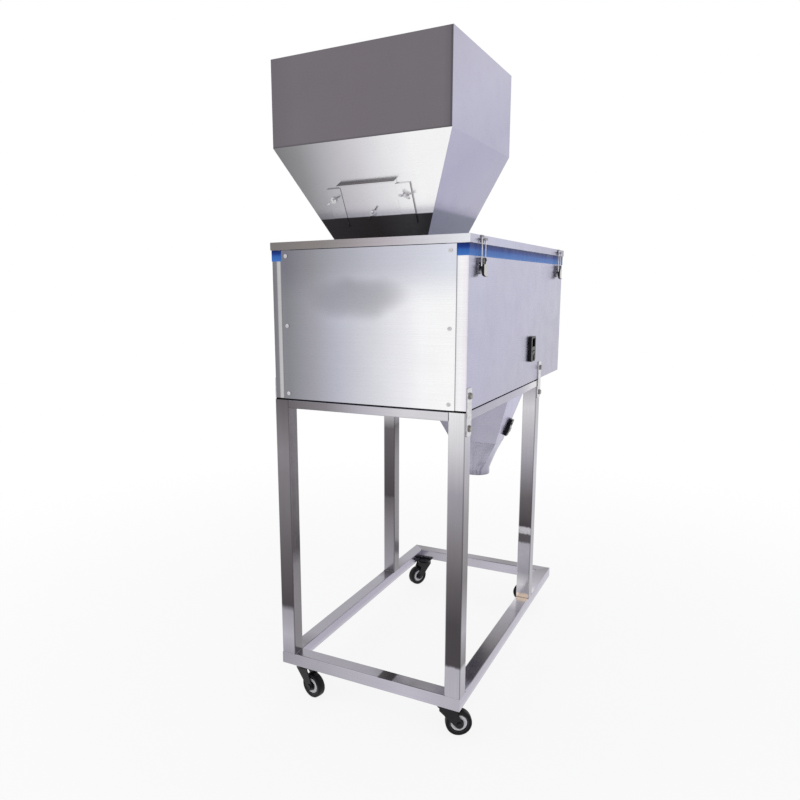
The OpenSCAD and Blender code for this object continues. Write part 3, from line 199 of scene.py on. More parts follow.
class Shader:
    """A material's node tree, with short calls for the nodes that the finishes share."""

    def __init__(self, name):
        self.material = bpy.data.materials.new(name)
        self.material.use_nodes = True
        self.nodes, self.links = self.material.node_tree.nodes, self.material.node_tree.links
        self.surface = self.nodes["Principled BSDF"]
        spots = self.nodes.new("ShaderNodeTexCoord")
        self.place = spots.outputs["Object"]
        self.normal = spots.outputs["Normal"]

    def feed(self, socket, value):
        """Sets a socket to a hex colour or a number, or links it to another socket."""
        if isinstance(value, str):
            socket.default_value = (*tone(value), 1)
        elif isinstance(value, (int, float)):
            socket.default_value = value
        else:
            self.links.new(value, socket)

    def mapped(self, scale=(1, 1, 1), offset=(0, 0, 0)):
        node = self.nodes.new("ShaderNodeMapping")
        node.inputs["Scale"].default_value = scale
        node.inputs["Location"].default_value = offset
        self.links.new(self.place, node.inputs["Vector"])
        return node.outputs[0]

    def noise(self, vector, scale, detail=3.0, roughness=0.5):
        node = self.nodes.new("ShaderNodeTexNoise")
        node.inputs["Scale"].default_value = scale
        node.inputs["Detail"].default_value = detail
        node.inputs["Roughness"].default_value = roughness
        self.links.new(vector, node.inputs["Vector"])
        return node.outputs["Fac"]

    def range(self, value, low, high, to_low=0.0, to_high=1.0, smooth=False):
        """The value between low and high, spread from to_low to to_high."""
        node = self.nodes.new("ShaderNodeMapRange")
        if smooth:
            node.interpolation_type = "SMOOTHSTEP"
        node.inputs["From Min"].default_value = low
        node.inputs["From Max"].default_value = high
        node.inputs["To Min"].default_value = to_low
        node.inputs["To Max"].default_value = to_high
        self.links.new(value, node.inputs["Value"])
        return node.outputs[0]

    def math(self, kind, a, b=0.0):
        node = self.nodes.new("ShaderNodeMath")
        node.operation = kind
        self.feed(node.inputs[0], a)
        self.feed(node.inputs[1], b)
        return node.outputs[0]

    def level(self, share, low, high):
        """Plain number between two others."""
        node = self.nodes.new("ShaderNodeMix")
        self.feed(node.inputs[0], share)
        self.feed(node.inputs[2], low)
        self.feed(node.inputs[3], high)
        return node.outputs[0]

    def blend(self, share, low, high, kind="MIX"):
        node = self.nodes.new("ShaderNodeMix")
        node.data_type = "RGBA"
        node.blend_type = kind
        self.feed(node.inputs[0], share)
        self.feed(node.inputs[6], low)
        self.feed(node.inputs[7], high)
        return node.outputs[2]

    def axis(self, name, vector=None):
        node = self.nodes.new("ShaderNodeSeparateXYZ")
        self.links.new(vector or self.place, node.inputs[0])
        return node.outputs[name]

    def facing(self, name, low=0.6, high=0.8):
        """1 where the surface faces along the axis, either way."""
        return self.range(self.math("ABSOLUTE", self.axis(name, self.normal)), low, high)

    def ramp(self, value, stops):
        """Colours along a measure, as (measure, colour) from the lowest to the highest."""
        low, high = stops[0][0], stops[-1][0]
        node = self.nodes.new("ShaderNodeValToRGB")
        colours = node.color_ramp.elements
        for at, colour in stops[1:-1]:
            colours.new((at - low) / (high - low)).color = (*tone(colour), 1)
        colours[0].color = (*tone(stops[0][1]), 1)
        colours[-1].color = (*tone(stops[-1][1]), 1)
        self.links.new(self.range(value, low, high), node.inputs[0])
        return node.outputs[0]

    def colour(self, socket):
        self.feed(self.surface.inputs["Base Color"], socket)

    def rough(self, socket):
        self.feed(self.surface.inputs["Roughness"], socket)

    def bump(self, height, strength, distance):
        node = self.nodes.new("ShaderNodeBump")
        node.inputs["Strength"].default_value = strength
        node.inputs["Distance"].default_value = distance
        self.links.new(height, node.inputs["Height"])
        self.links.new(node.outputs[0], self.surface.inputs["Normal"])


# Noise scales that draw brush lines out along one axis, and their pairs for the end and the side faces
ALONG_X = (5.0, 800.0, 800.0)
ALONG_Y = (800.0, 5.0, 800.0)
ALONG_Z = (800.0, 800.0, 5.0)
LEVEL = (ALONG_X, ALONG_Y)
UPRIGHT = (ALONG_Z, ALONG_Z)
SIDEWAYS = (ALONG_X, ALONG_X)
LENGTHWAYS = (ALONG_Y, ALONG_Y)


def steel(name, paint, grain=LEVEL, rough=(0.2, 0.34), contrast=0.1, depth=0.05):
    """Brushed stainless steel. paint(shader) gives its tone.

    grain holds the brush lines' noise scales, for the end faces and for the side faces.
    """
    s = Shader(name)
    s.surface.inputs["Metallic"].default_value = 1.0
    streaks = s.noise(s.mapped(scale=grain[0]), 1.0, 4.0, 0.6)
    if grain[1] != grain[0]:
        beside = s.noise(s.mapped(scale=grain[1]), 1.0, 4.0, 0.6)
        streaks = s.level(s.facing("X"), streaks, beside)
    clouds = s.noise(s.mapped(), 7.0, 3.0)
    smudge_and_dark_reflection = s.noise(s.mapped(offset=(3.1, 1.7, 0.4)), 19.0, 4.0, 0.55)
    mottle = s.math("ADD", s.math("MULTIPLY", streaks, 0.65), s.math("MULTIPLY", clouds, 0.35))
    shade = s.range(mottle, 0.32, 0.68, 1.0 - contrast, 1.0 + contrast * 0.4)
    s.colour(s.blend(1.0, paint(s), shade, "MULTIPLY"))
    wear = s.math("ADD", s.math("MULTIPLY", streaks, 0.5), s.math("MULTIPLY", smudge_and_dark_reflection, 0.5))
    s.rough(s.range(wear, 0.33, 0.67, rough[0], rough[1]))
    s.bump(streaks, depth, 0.0004)
    return s.material


def fitting_metal(name, dark, pale, rough):
    """Turned, pressed or drawn metal of small fittings."""
    s = Shader(name)
    s.surface.inputs["Metallic"].default_value = 1.0
    grain = s.noise(s.mapped(), 140.0, 3.0)
    s.colour(s.blend(s.range(grain, 0.3, 0.7), dark, pale))
    s.rough(s.range(grain, 0.3, 0.7, rough[0], rough[1]))
    s.bump(s.noise(s.mapped(), 900.0, 2.0), 0.05, 0.0002)
    return s.material


def moulded(name, dark, pale, rough, grain=900.0, depth=0.12, sheen=0.5):
    """Moulded plastic or rubber with a fine grain and a little dust."""
    s = Shader(name)
    s.surface.inputs["Specular IOR Level"].default_value = sheen
    dust = s.noise(s.mapped(offset=(0.6, 2.2, 1.4)), 30.0, 4.0)
    s.colour(s.blend(s.range(dust, 0.38, 0.75), dark, pale))
    s.rough(s.range(dust, 0.3, 0.7, rough[0], rough[1]))
    s.bump(s.noise(s.mapped(), grain, 2.0), depth, 0.0002)
    return s.material


def leg_painted_reflections(end_stops, side_stops):
    """Painted reflections up the leg, with their own stops on the end and the side faces.

    The round corners carry a painted dark reflection on one side and a painted pale one on the other.
    """
    def paint(s):
        waver = s.range(s.noise(s.mapped(scale=(90, 90, 14)), 1.0, 2.0), 0.0, 1.0, -0.004, 0.004)
        height = s.math("ADD", s.axis("Z"), waver)
        walls = s.blend(s.facing("Y"), s.ramp(height, side_stops), s.ramp(height, end_stops))
        # Painted reflections along the round corners: dark on one side, pale on the other
        corner = s.math("MULTIPLY", s.axis("X", s.normal), s.axis("Y", s.normal))
        walls = s.blend(s.range(corner, -0.42, -0.1, 0.4, 0.0), walls, "#3d363f")
        return s.blend(s.range(corner, 0.1, 0.42, 0.0, 0.5), walls, PALE)
    return paint


def plain_tone(s):
    """Pale steel with faint broad clouds, for the pieces inside the cabinet."""
    return s.blend(s.range(s.noise(s.mapped(), 2.5, 2.0), 0.35, 0.65, 0.0, 0.25), "#bdbcc4", "#8f8d96")


# What a polished tube mirrors, from a dark room to the pale floor
DEEP, DARK, MID, SOFT, LIGHT, PALE, WHITE = (
    "#4f4b4e", "#686467", "#878388", "#a19ea7", "#b9b6c0", "#d6d4d8", "#e8e8ea")
# Heat tint of a weld
WARM = "#efdac4"
# Painted reflections up each leg, as (height, colour), on the end faces and on the side faces; one foot also
# holds a weld's heat tint
LEG_REFLECTION_STOPS = {
    "rear_left": (
        ((0.12, LIGHT), (0.192, LIGHT), (0.198, DEEP), (0.3, DEEP), (0.4, DARK), (0.5, MID), (0.6, SOFT),
         (0.7, PALE), (0.778, WHITE)),
        ((0.12, SOFT), (0.19, LIGHT), (0.2, DARK), (0.28, SOFT), (0.4, DARK), (0.55, MID), (0.7, LIGHT),
         (0.778, PALE))),
    "rear_right": (
        ((0.12, SOFT), (0.17, LIGHT), (0.235, SOFT), (0.25, DEEP), (0.4, DARK), (0.65, MID), (0.778, DARK)),
        ((0.12, MID), (0.36, MID), (0.4, DARK), (0.6, MID), (0.778, MID))),
    "front_left": (
        ((0.12, WARM), (0.131, WARM), (0.134, LIGHT), (0.16, PALE), (0.2, SOFT), (0.29, LIGHT),
         (0.296, DARK), (0.318, DARK), (0.322, PALE),
         (0.338, PALE), (0.343, DEEP), (0.43, DARK), (0.55, SOFT), (0.7, PALE), (0.778, SOFT)),
        ((0.12, SOFT), (0.4, SOFT), (0.5, LIGHT), (0.778, SOFT))),
    "front_right": (
        ((0.12, SOFT), (0.28, MID), (0.37, DARK), (0.38, DEEP), (0.6, DARK), (0.67, PALE), (0.778, WHITE)),
        ((0.12, MID), (0.5, MID), (0.61, DARK), (0.66, PALE), (0.778, WHITE))),
}


def side_rail_painted_reflections(s):
    """Base and top side rails: painted reflections along Y, darker on the left rail's top behind the rear
    leg, and painted light at the walls' foot.
    """
    y = s.axis("Y")
    left = s.ramp(y, ((-0.44, MID), (-0.27, LIGHT), (-0.24, PALE), (-0.15, PALE), (-0.08, SOFT),
                      (0.1, MID), (0.2, DARK), (0.33, DARK), (0.37, LIGHT), (0.424, LIGHT)))
    right = s.ramp(y, ((-0.44, SOFT), (-0.3, SOFT), (-0.17, DARK), (-0.12, SOFT), (0.3, SOFT),
                       (0.36, MID), (0.424, SOFT)))
    top = s.blend(s.math("GREATER_THAN", s.axis("X")), left, right)
    # Painted light: the walls grow paler towards their foot
    painted_light_foot = s.range(s.axis("Z"), 0.088, 0.104, 1.0, 0.0)
    wall = s.blend(painted_light_foot, "#b3aebe", "#cbc7d2")
    return s.blend(s.facing("Z"), wall, top)


def cross_rail_painted_reflections(s):
    """Base cross rails: lilac grey with painted reflections, among them one dark square painted on top."""
    x = s.axis("X")
    # The DEEP stops paint a dark square reflection on the rear rail's top
    rear_top = s.ramp(x, ((-0.24, SOFT), (-0.12, MID), (-0.072, SOFT), (-0.068, DEEP), (-0.034, DEEP),
                          (-0.03, SOFT), (0.24, SOFT)))
    front_top = s.ramp(x, ((-0.24, SOFT), (-0.1, MID), (0.1, SOFT), (0.2, MID)))
    top = s.blend(s.math("GREATER_THAN", s.axis("Y"), 0.0), front_top, rear_top)
    wall = s.ramp(x, ((-0.24, LIGHT), (-0.1, "#c4c0cd"), (0.05, LIGHT), (0.24, SOFT)))
    return s.blend(s.facing("Z"), wall, top)


def top_rail_painted_reflections(s):
    """Top rails: painted reflections, pale at the corner nearest the camera, darker along the side and
    towards the right.
    """
    x = s.axis("X")
    rear = s.ramp(x, ((-0.21, PALE), (-0.1, PALE), (0.0, LIGHT), (0.1, MID), (0.21, DARK)))
    side = s.ramp(s.axis("Y"), ((-0.214, WHITE), (-0.13, PALE), (-0.03, "#b0acbc"), (0.424, "#a3a0b0")))
    return s.blend(s.facing("Y"), side, rear)


def side_panel_painted_reflections(post_reflection_stops):
    """Lilac grey sheet with one broad painted sheen, and painted reflections of its own across the rear
    post.
    """
    def paint(s):
        drift = s.math("ADD", s.math("MULTIPLY", s.axis("Y"), 0.35), s.axis("Z"))
        face = s.ramp(drift, ((0.7, "#aaa7ba"), (0.85, "#b1afc4"), (1.0, "#b4b2cb"), (1.15, "#b9b9d0"),
                              (1.3, "#bcbcd1")))
        return s.blend(s.facing("Y"), face, s.ramp(s.axis("X"), post_reflection_stops))
    return paint


# Middle and half sizes, along X and Z, of the end panel's soft painted dark reflection
DARK_REFLECTION_X, DARK_REFLECTION_Z = 0.02, 1.018
DARK_REFLECTION_HALF_X, DARK_REFLECTION_HALF_Z = 0.125, 0.045


def end_panel_painted_reflections(s):
    """End panel: painted reflections, grey at one side and white at the other, darker near the top, with one
    soft painted dark reflection.
    """
    x, z = s.axis("X"), s.axis("Z")
    low = s.ramp(x, ((-0.2, "#fdfdfd"), (-0.14, "#fafafc"), (-0.09, "#ececf1"), (-0.01, "#d6d7de"),
                     (0.07, "#bcbdca"), (0.13, "#a6a5ae"), (0.2, "#8a8a91")))
    high = s.ramp(x, ((-0.2, "#dfe1ec"), (-0.1, "#cdced9"), (-0.01, "#bcbdc8"), (0.07, "#a8a9b2"),
                      (0.13, "#94939a"), (0.2, "#7d7c86")))
    sheet = s.blend(s.range(z, 0.99, 1.1, smooth=True), low, high)
    # The soft dark blot is a painted dark reflection, wavering a little in height
    waver = s.range(s.noise(s.mapped(), 9.0, 2.0), 0.0, 1.0, -0.02, 0.02)
    across = s.math("DIVIDE", s.math("ADD", x, -DARK_REFLECTION_X), DARK_REFLECTION_HALF_X)
    upward = s.math("DIVIDE", s.math("ADD", s.math("ADD", z, waver), -DARK_REFLECTION_Z), DARK_REFLECTION_HALF_Z)
    reach = s.math("ADD", s.math("POWER", across, 2.0), s.math("POWER", upward, 2.0))
    smudge_and_dark_reflection = s.range(reach, 0.0, 1.3, 0.52, 0.0, smooth=True)
    return s.blend(smudge_and_dark_reflection, sheet, "#83828a")


# The hopper, as its painted reflections need it: where the slope's painted dark foot ends, the side slope's
# painted darker foot, the fold between slope and box, half the throat, and the middle of its length
SLOPE_FOOT_Z = (1.1945, 1.196)
SIDE_FOOT_Z = (1.2, 1.206)
SHOULDER_Z = (1.3455, 1.3495)
THROAT_HALF = 0.113
HOPPER_MIDDLE_Y = 0.25


def slope_painted_reflections(s):
    """The hopper's rear slope: painted reflections, grey at the right, white at the left, and a painted dark
    reflection of the lid at its foot.
    """
    x = s.axis("X")
    slope = s.ramp(x, ((-0.2, "#fdfcfd"), (-0.12, "#fbfbfc"), (-0.06, "#ececef"), (0.02, "#cfccd2"),
                       (0.09, "#b4b3b8"), (0.15, "#939396"), (0.2, "#828184")))
    # Painted dark reflection of the lid along the slope's foot
    foot = s.ramp(x, ((-0.13, "#3a3a3c"), (-0.09, "#4b4b4c"), (0.0, "#3c3838"), (0.12, "#403e3f")))
    return s.blend(s.range(s.axis("Z"), *SLOPE_FOOT_Z), foot, slope)


def gate_painted_reflections(s):
    """The gate plate takes the slope's painted reflections, and both sides of its lip carry painted shade.
    """
    return s.blend(s.facing("Z", 0.7, 0.8), slope_painted_reflections(s), "#5f5a5d")


def hopper_painted_reflections(s):
    """Painted reflections: taupe ends, lilac sides, slopes that run from grey to white with a painted dark
    foot, and a pale inside.
    """
    x, z = s.axis("X"), s.axis("Z")
    end = s.ramp(x, ((-0.2100, "#8b8790"), (-0.2092, "#4b484d"), (-0.2068, "#5c595e"), (-0.204, "#6d696f"),
                     (-0.19, "#757075"), (0.15, "#767077"), (0.21, "#716c72")))
    # Painted shade on the end faces below the shoulder
    end = s.blend(s.range(z, *SHOULDER_Z, 0.45, 0.0), end, "#3d393d")
    drift = s.math("ADD", s.math("MULTIPLY", s.axis("Y"), 0.5), z)
    side = s.ramp(drift, ((1.2, "#b9b6c9"), (1.3, "#aaa8be"), (1.45, "#a8a6c0"), (1.6, "#b4b2c9"),
                          (1.75, "#b0adc1")))
    # Painted shade at the side slopes' foot
    side = s.blend(s.range(z, *SIDE_FOOT_Z), "#8b8fa2", side)
    flat = s.range(s.math("ABSOLUTE", s.axis("Z", s.normal)), 0.2, 0.3)
    fore = s.blend(flat, end, slope_painted_reflections(s))
    beside = s.math("GREATER_THAN", s.math("ABSOLUTE", x), THROAT_HALF)
    body = s.blend(s.math("MULTIPLY", s.facing("X", 0.55, 0.65), beside), fore, side)
    from_middle = s.math("ADD", s.axis("Y"), -HOPPER_MIDDLE_Y)
    outward = s.math("ADD", s.math("MULTIPLY", x, s.axis("X", s.normal)),
                     s.math("MULTIPLY", from_middle, s.axis("Y", s.normal)))
    body = s.blend(s.math("LESS_THAN", outward, -0.01), body, "#dddce0")
    return s.blend(s.facing("Z", 0.9, 0.95), body, "#c9c7cf")


def lid_painted_reflections(s):
    """Lid: painted reflections along the rear and the side edge, and a plain pale top."""
    rear = s.ramp(s.axis("X"), ((-0.243, "#e9ebf1"), (-0.15, "#d6d5dc"), (-0.07, "#c0b9c0"),
                                (0.05, "#9b9597"), (0.12, "#8b8684"), (0.243, "#807b7b")))
    side = s.ramp(s.axis("Y"), ((-0.44, "#85849a"), (-0.4, "#a3a1b8"), (-0.1, "#b5b4cc"),
                                (0.2, "#c0c0da"), (0.42, "#bcbbcd")))
    edge = s.blend(s.facing("Y"), side, rear)
    return s.blend(s.facing("Z"), edge, "#c4c3cb")


def chute_painted_reflections(s):
    """Chute and spout: painted reflections, lilac on the sides, greyer on the rear and the front, with
    painted shade darkening towards the rim.
    """
    z = s.axis("Z")
    face = s.ramp(z, ((0.433, "#8f8d9b"), (0.438, "#a09eae"), (0.452, "#aeacbc"), (0.5, "#b2b0c3"),
                      (0.6, "#b2afca"), (0.78, "#b2afd0")))
    rear = s.ramp(z, ((0.433, "#8f8d9b"), (0.438, "#9f9dac"), (0.46, "#b4b2c2"), (0.78, "#b7b5c6")))
    return s.blend(s.facing("Y", 0.35, 0.9), face, rear)


def seal_material():
    """Blue band with painted shade: bright below, navy in the lid's shade, with faint creases."""
    s = Shader("seal_blue")
    s.surface.inputs["Specular IOR Level"].default_value = 0.06
    crease = s.noise(s.mapped(scale=(120, 120, 20)), 1.0, 3.0)
    height = s.math("ADD", s.axis("Z"), s.range(crease, 0.2, 0.8, -0.0015, 0.0015))
    # Painted shade: navy under the lid's overhang, brighter blue below
    s.colour(s.ramp(height, ((1.1015, "#5f8fdc"), (1.104, "#4a80d2"), (1.113, "#3d70c4"),
                             (1.1185, "#27479a"), (1.1267, "#1c2f6e"))))
    s.rough(s.range(crease, 0.3, 0.7, 0.25, 0.42))
    s.bump(crease, 0.25, 0.0006)
    return s.material


def lever_material():
    """Latch lever: painted light and shade, pale on its outer web, nearly black on its two flanges."""
    s = Shader("lever_steel")
    s.surface.inputs["Metallic"].default_value = 1.0
    grain = s.noise(s.mapped(), 140.0, 3.0)
    web = s.blend(s.range(grain, 0.3, 0.7), "#aeaba9", "#cbc8c5")
    flange = s.blend(s.range(grain, 0.3, 0.7), "#28272b", "#3f3e43")
    # Painted light and shade: the outward web is pale, the flanges dark
    s.colour(s.blend(s.facing("X", 0.5, 0.7), flange, web))
    s.rough(s.range(grain, 0.3, 0.7, 0.16, 0.3))
    return s.material


def make_materials():
    """Every finish by name."""
    # Painted reflections across the rear posts of the two side panels, as (x, colour)
    grey_post_reflections = ((0.19, "#747675"), (0.2155, "#7c7c7e"), (0.219, "#c6c5c8"), (0.226, "#c0bfc1"),
                 (0.2285, "#858387"), (0.24, "#7f7d84"))
    pale_post_reflections = ((-0.24, "#dfdde4"), (-0.236, "#f6f1f8"), (-0.225, "#fbfafb"), (-0.217, "#f6f6fa"),
                  (-0.2145, "#a2a1a6"), (-0.19, "#8b8b95"))
    m = {
        "side_left": steel("side_left_steel", side_panel_painted_reflections(pale_post_reflections)),
        "side_right": steel("side_right_steel", side_panel_painted_reflections(grey_post_reflections)),
        "end_panel": steel("end_panel_steel", end_panel_painted_reflections, SIDEWAYS, (0.22, 0.34), 0.06),
        "hopper": steel("hopper_steel", hopper_painted_reflections, LEVEL, (0.18, 0.3), 0.04, 0.03),
        "lid": steel("lid_steel", lid_painted_reflections),
        "gate": steel("gate_steel", gate_painted_reflections, SIDEWAYS, (0.18, 0.3), 0.04, 0.03),
        "chute": steel("chute_steel", chute_painted_reflections, LEVEL, (0.2, 0.34), 0.05, 0.02),
        "inner": steel("inner_steel", plain_tone),
        "side_rail": steel("side_rail_steel", side_rail_painted_reflections, LENGTHWAYS, (0.14, 0.26)),
        "cross_rail": steel("cross_rail_steel", cross_rail_painted_reflections, SIDEWAYS, (0.14, 0.26)),
        "top_rail": steel("top_rail_steel", top_rail_painted_reflections, LEVEL, (0.14, 0.26)),
        "bright": fitting_metal("bright_steel", "#b9b7b9", "#e2e1e4", (0.12, 0.26)),
        "zinc": fitting_metal("zinc_steel", "#7b7876", "#a8a5a2", (0.2, 0.36)),
        "latch": fitting_metal("latch_steel", "#6a696d", "#8f8e93", (0.16, 0.3)),
        "lever": lever_material(),
        "caster": moulded("caster_black", "#0a0a10", "#191a22", (0.2, 0.36), sheen=0.3),
        "tyre": moulded("tyre_rubber", "#07070b", "#14141a", (0.36, 0.55), sheen=0.2),
        "hub": moulded("hub_plastic", "#16161a", "#26262b", (0.25, 0.4), sheen=0.3),
        "hub_ring": moulded("hub_ring_plastic", "#d2d2d8", "#e6e6ea", (0.2, 0.34)),
        "rubber": moulded("seat_rubber", "#0b0b0d", "#161618", (0.6, 0.8), sheen=0.2),
        "switch": moulded("switch_black", "#08090f", "#12131b", (0.2, 0.36), sheen=0.22),
        "paint": moulded("base_paint", "#46586a", "#566a7c", (0.35, 0.5), 60.0, 0.4),
        "leaf": fitting_metal("leaf_plate", "#a8904f", "#c8ae66", (0.3, 0.45)),
        "aluminium": fitting_metal("cell_aluminium", "#b4b4b8", "#cfcfd3", (0.25, 0.4)),
        "box": moulded("box_plastic", "#c4c4c2", "#d2d2d0", (0.4, 0.55)),
        "panel": moulded("panel_plastic", "#3c4047", "#484d55", (0.35, 0.5)),
        "key_pale": moulded("key_pale", "#cfcfd2", "#dededf", (0.35, 0.5)),
        "key_green": moulded("key_green", "#2f7d3a", "#38904a", (0.3, 0.45)),
        "glass": moulded("display_dark", "#0b1216", "#10191e", (0.05, 0.1), 40.0, 0.0),
        "seal": seal_material(),
        "weld": fitting_metal("weld_steel", "#7f7878", "#a29ca0", (0.28, 0.48)),
        "contact": fitting_metal("contact_brass", "#b08d3c", "#d2b05a", (0.2, 0.3)),
        "digit": moulded("digit_red", "#c8281e", "#dc3a2c", (0.3, 0.4)),
        "digit_dark": moulded("digit_dark", "#3a1512", "#451a16", (0.3, 0.4)),
        "mark": moulded("mark_white", "#d8d8d8", "#e8e8e8", (0.4, 0.5)),
        "ink": moulded("ink_grey", "#2c2d31", "#36373b", (0.4, 0.5)),
    }
    for corner, (end_stops, side_stops) in LEG_REFLECTION_STOPS.items():
        m["leg_" + corner] = steel(f"leg_{corner}_steel", leg_painted_reflections(end_stops, side_stops), UPRIGHT,
                                   (0.12, 0.24), 0.12)
    return m


finish = make_materials()


# Dressing of the CAD nodes

NODE_FINISH = {
    "side_panel_left": "side_left", "side_panel_right": "side_right", "rear_panel": "end_panel",
    "front_panel": "end_panel", "cabinet_floor": "inner", "lid": "lid", "hopper": "hopper",
    "gate_plate": "gate", "gate_screws": "bright", "chute": "chute", "spout": "chute",
    "feeder_tray": "inner", "weigh_bucket": "inner", "flap_front": "inner", "flap_rear": "inner",
    "base_side_rails": "side_rail", "base_cross_rails": "cross_rail", "top_side_rails": "top_rail",
    "top_cross_rails": "top_rail", "joining_plates": "bright", "joining_bolts": "zinc",
    "panel_screws": "bright", "latch_bases": "latch", "latch_keepers": "latch", "seat_strips": "rubber",
    "caster_plates": "caster", "seal_band": "seal", "power_inlet": "switch", "power_rocker": "switch",
    "bag_switch": "switch", "bag_paddle": "latch", "feeder_base": "paint", "leaf_springs": "leaf",
    "load_cell": "aluminium", "control_box": "box", "control_panel": "panel",
    "display_window": "glass", "key_minus": "key_pale", "key_set": "key_green", "key_plus": "key_pale",
}
for end, side in CORNERS:
    corner = f"{end}_{side}"
    NODE_FINISH.update({"leg_" + corner: "leg_" + corner, "fork_" + corner: "caster",
                        "wheel_" + corner: "tyre", "lever_" + corner: "lever", "bail_" + corner: "bright"})


def dress_nodes():
    """Gives every CAD node its finish."""
    for name, node in frame["nodes"].items():
        for slot in node.material_slots:
            slot.material = finish[NODE_FINISH[name]]


def settle(piece, modifier):
    """Turns what the piece's one modifier makes into the piece's own plain mesh."""
    graph = bpy.context.evaluated_depsgraph_get()
    mesh = bpy.data.meshes.new_from_object(piece.evaluated_get(graph))
    piece.modifiers.remove(modifier)
    mesh.name = piece.name
    piece.data = mesh


def declare(piece, body, stands_for):
    """Hangs the piece on its body and hides the CAD nodes it stands for."""
    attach(piece, body)
    if stands_for:
        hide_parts(*stands_for)


def finish_piece(name, bm, material, body, stands_for=(), smooth_angle=35, folded=False):
    """Makes a mesh object of bm at the origin with its finish, hangs it on its body and hides the CAD nodes
    it stands for.

    folded keeps the large faces flat, so that only the rounded edges between them shade smoothly.
    """
    mesh = bpy.data.meshes.new(name)
    bm.to_mesh(mesh)
    bm.free()
    for face in mesh.polygons:
        face.use_smooth = True
    mesh.set_sharp_from_angle(angle=math.radians(smooth_angle))
    mesh.materials.append(finish[material])
    piece = bpy.data.objects.new(name, mesh)
    bpy.context.collection.objects.link(piece)
    if folded:
        weights = piece.modifiers.new("weights", "WEIGHTED_NORMAL")
        weights.mode = "FACE_AREA"
        weights.weight = 100
        weights.keep_sharp = True
        settle(piece, weights)
    declare(piece, body, stands_for)
    return piece


def body_of(node):
    return frame["nodes"][node]["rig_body"]


MERGE = 1e-6
FLAT_DEG = 0.5
SHARP_DEG = 20


def rounded_copy(node, width):
    """Merged copy of a CAD node whose sharp edges are rounded, as folded and deburred steel is."""
    bm = bmesh.new()
    bm.from_mesh(frame["nodes"][node].data)
    bmesh.ops.remove_doubles(bm, verts=bm.verts, dist=MERGE)
    bmesh.ops.dissolve_limit(bm, angle_limit=math.radians(FLAT_DEG), verts=bm.verts, edges=bm.edges)
    edges = [e for e in bm.edges
             if len(e.link_faces) == 2 and e.calc_face_angle() > math.radians(SHARP_DEG)]
    bmesh.ops.bevel(bm, geom=edges, offset=width, segments=2, profile=0.5, affect="EDGES",
                    clamp_overlap=False)
    finish_piece(node + "_rounded", bm, NODE_FINISH[node], body_of(node), (node,),
                 smooth_angle=60, folded=True)


def mirrored(half):
    """A half section with its mirror image, as (share of the radius, share of the half width)."""
    return list(half) + [(r, -y) for r, y in reversed(half)]


def skin(bm, loops):
    """Adds the skin over closed loops of points, from each loop to the next and back to the first."""
    rings = [[bm.verts.new(point) for point in loop] for loop in loops]
    for ring, after in zip(rings, rings[1:] + rings[:1]):
        for j in range(len(ring)):
            k = (j + 1) % len(ring)
            bm.faces.new((ring[j], after[j], after[k], ring[k]))
    bmesh.ops.recalc_face_normals(bm, faces=bm.faces)


def revolve(bm, section, centre, axle, radius, half, steps=72):
    """Adds the ring that a closed section makes round the axle through the centre."""
    level = axle.orthogonal().normalized()
    turns = [Matrix.Rotation(math.tau * i / steps, 3, axle) @ level for i in range(steps)]
    skin(bm, [[centre + around * (r * radius) + axle * (y * half) for r, y in section] for around in turns])


# Sections of the wheel's rings, as (share of the radius, share of the half width)
TYRE_SHARES = mirrored(((0.752, -0.86), (0.775, -0.94), (0.84, -0.985), (0.9, -0.99), (0.95, -0.93),
                        (0.98, -0.8), (0.994, -0.55), (1.0, -0.2)))
HUB_SHARES = mirrored(((0.13, -0.88), (0.27, -0.88), (0.3, -0.66), (0.63, -0.66), (0.665, -0.86),
                       (0.755, -0.88)))
RING_SHARES = ((0.34, 0.62), (0.355, 0.76), (0.4, 0.84), (0.5, 0.87), (0.58, 0.83),
               (0.615, 0.74), (0.63, 0.62))


def dress_wheel(corner):
    """Tyre with round shoulders, its hub, and a pale dust ring on both sides of the hub."""
    node = "wheel_" + corner
    joint = next(row for row in frame["record"]["behaviour"]["joints"] if row["child"] == node)
    centre, axle = Vector(joint["pos_m"]), Vector(joint["axis"]).normalized()
    spots = [vertex.co - centre for vertex in frame["nodes"][node].data.vertices]
    half = max(spot.dot(axle) for spot in spots)
    radius = max((spot - axle * spot.dot(axle)).length for spot in spots)
    for part, sections, material in (
            ("tyre", [TYRE_SHARES], "tyre"), ("hub", [HUB_SHARES], "hub"),
            ("dust_ring", [RING_SHARES, [(r, -y) for r, y in RING_SHARES]], "hub_ring")):
        bm = bmesh.new()
        for section in sections:
            revolve(bm, section, centre, axle, radius, half)
        finish_piece(f"{node}_{part}", bm, material, body_of(node),
                     (node,) if part == "tyre" else ())


# The spout: its round end's height, its sheet, the rounding of its rim, and the skin's steps
SPOUT_END = 20 * MM
SHEET = 2 * MM
RIM = 0.7 * MM
SPOUT_LEVELS = 10
SPOUT_POINTS = 96


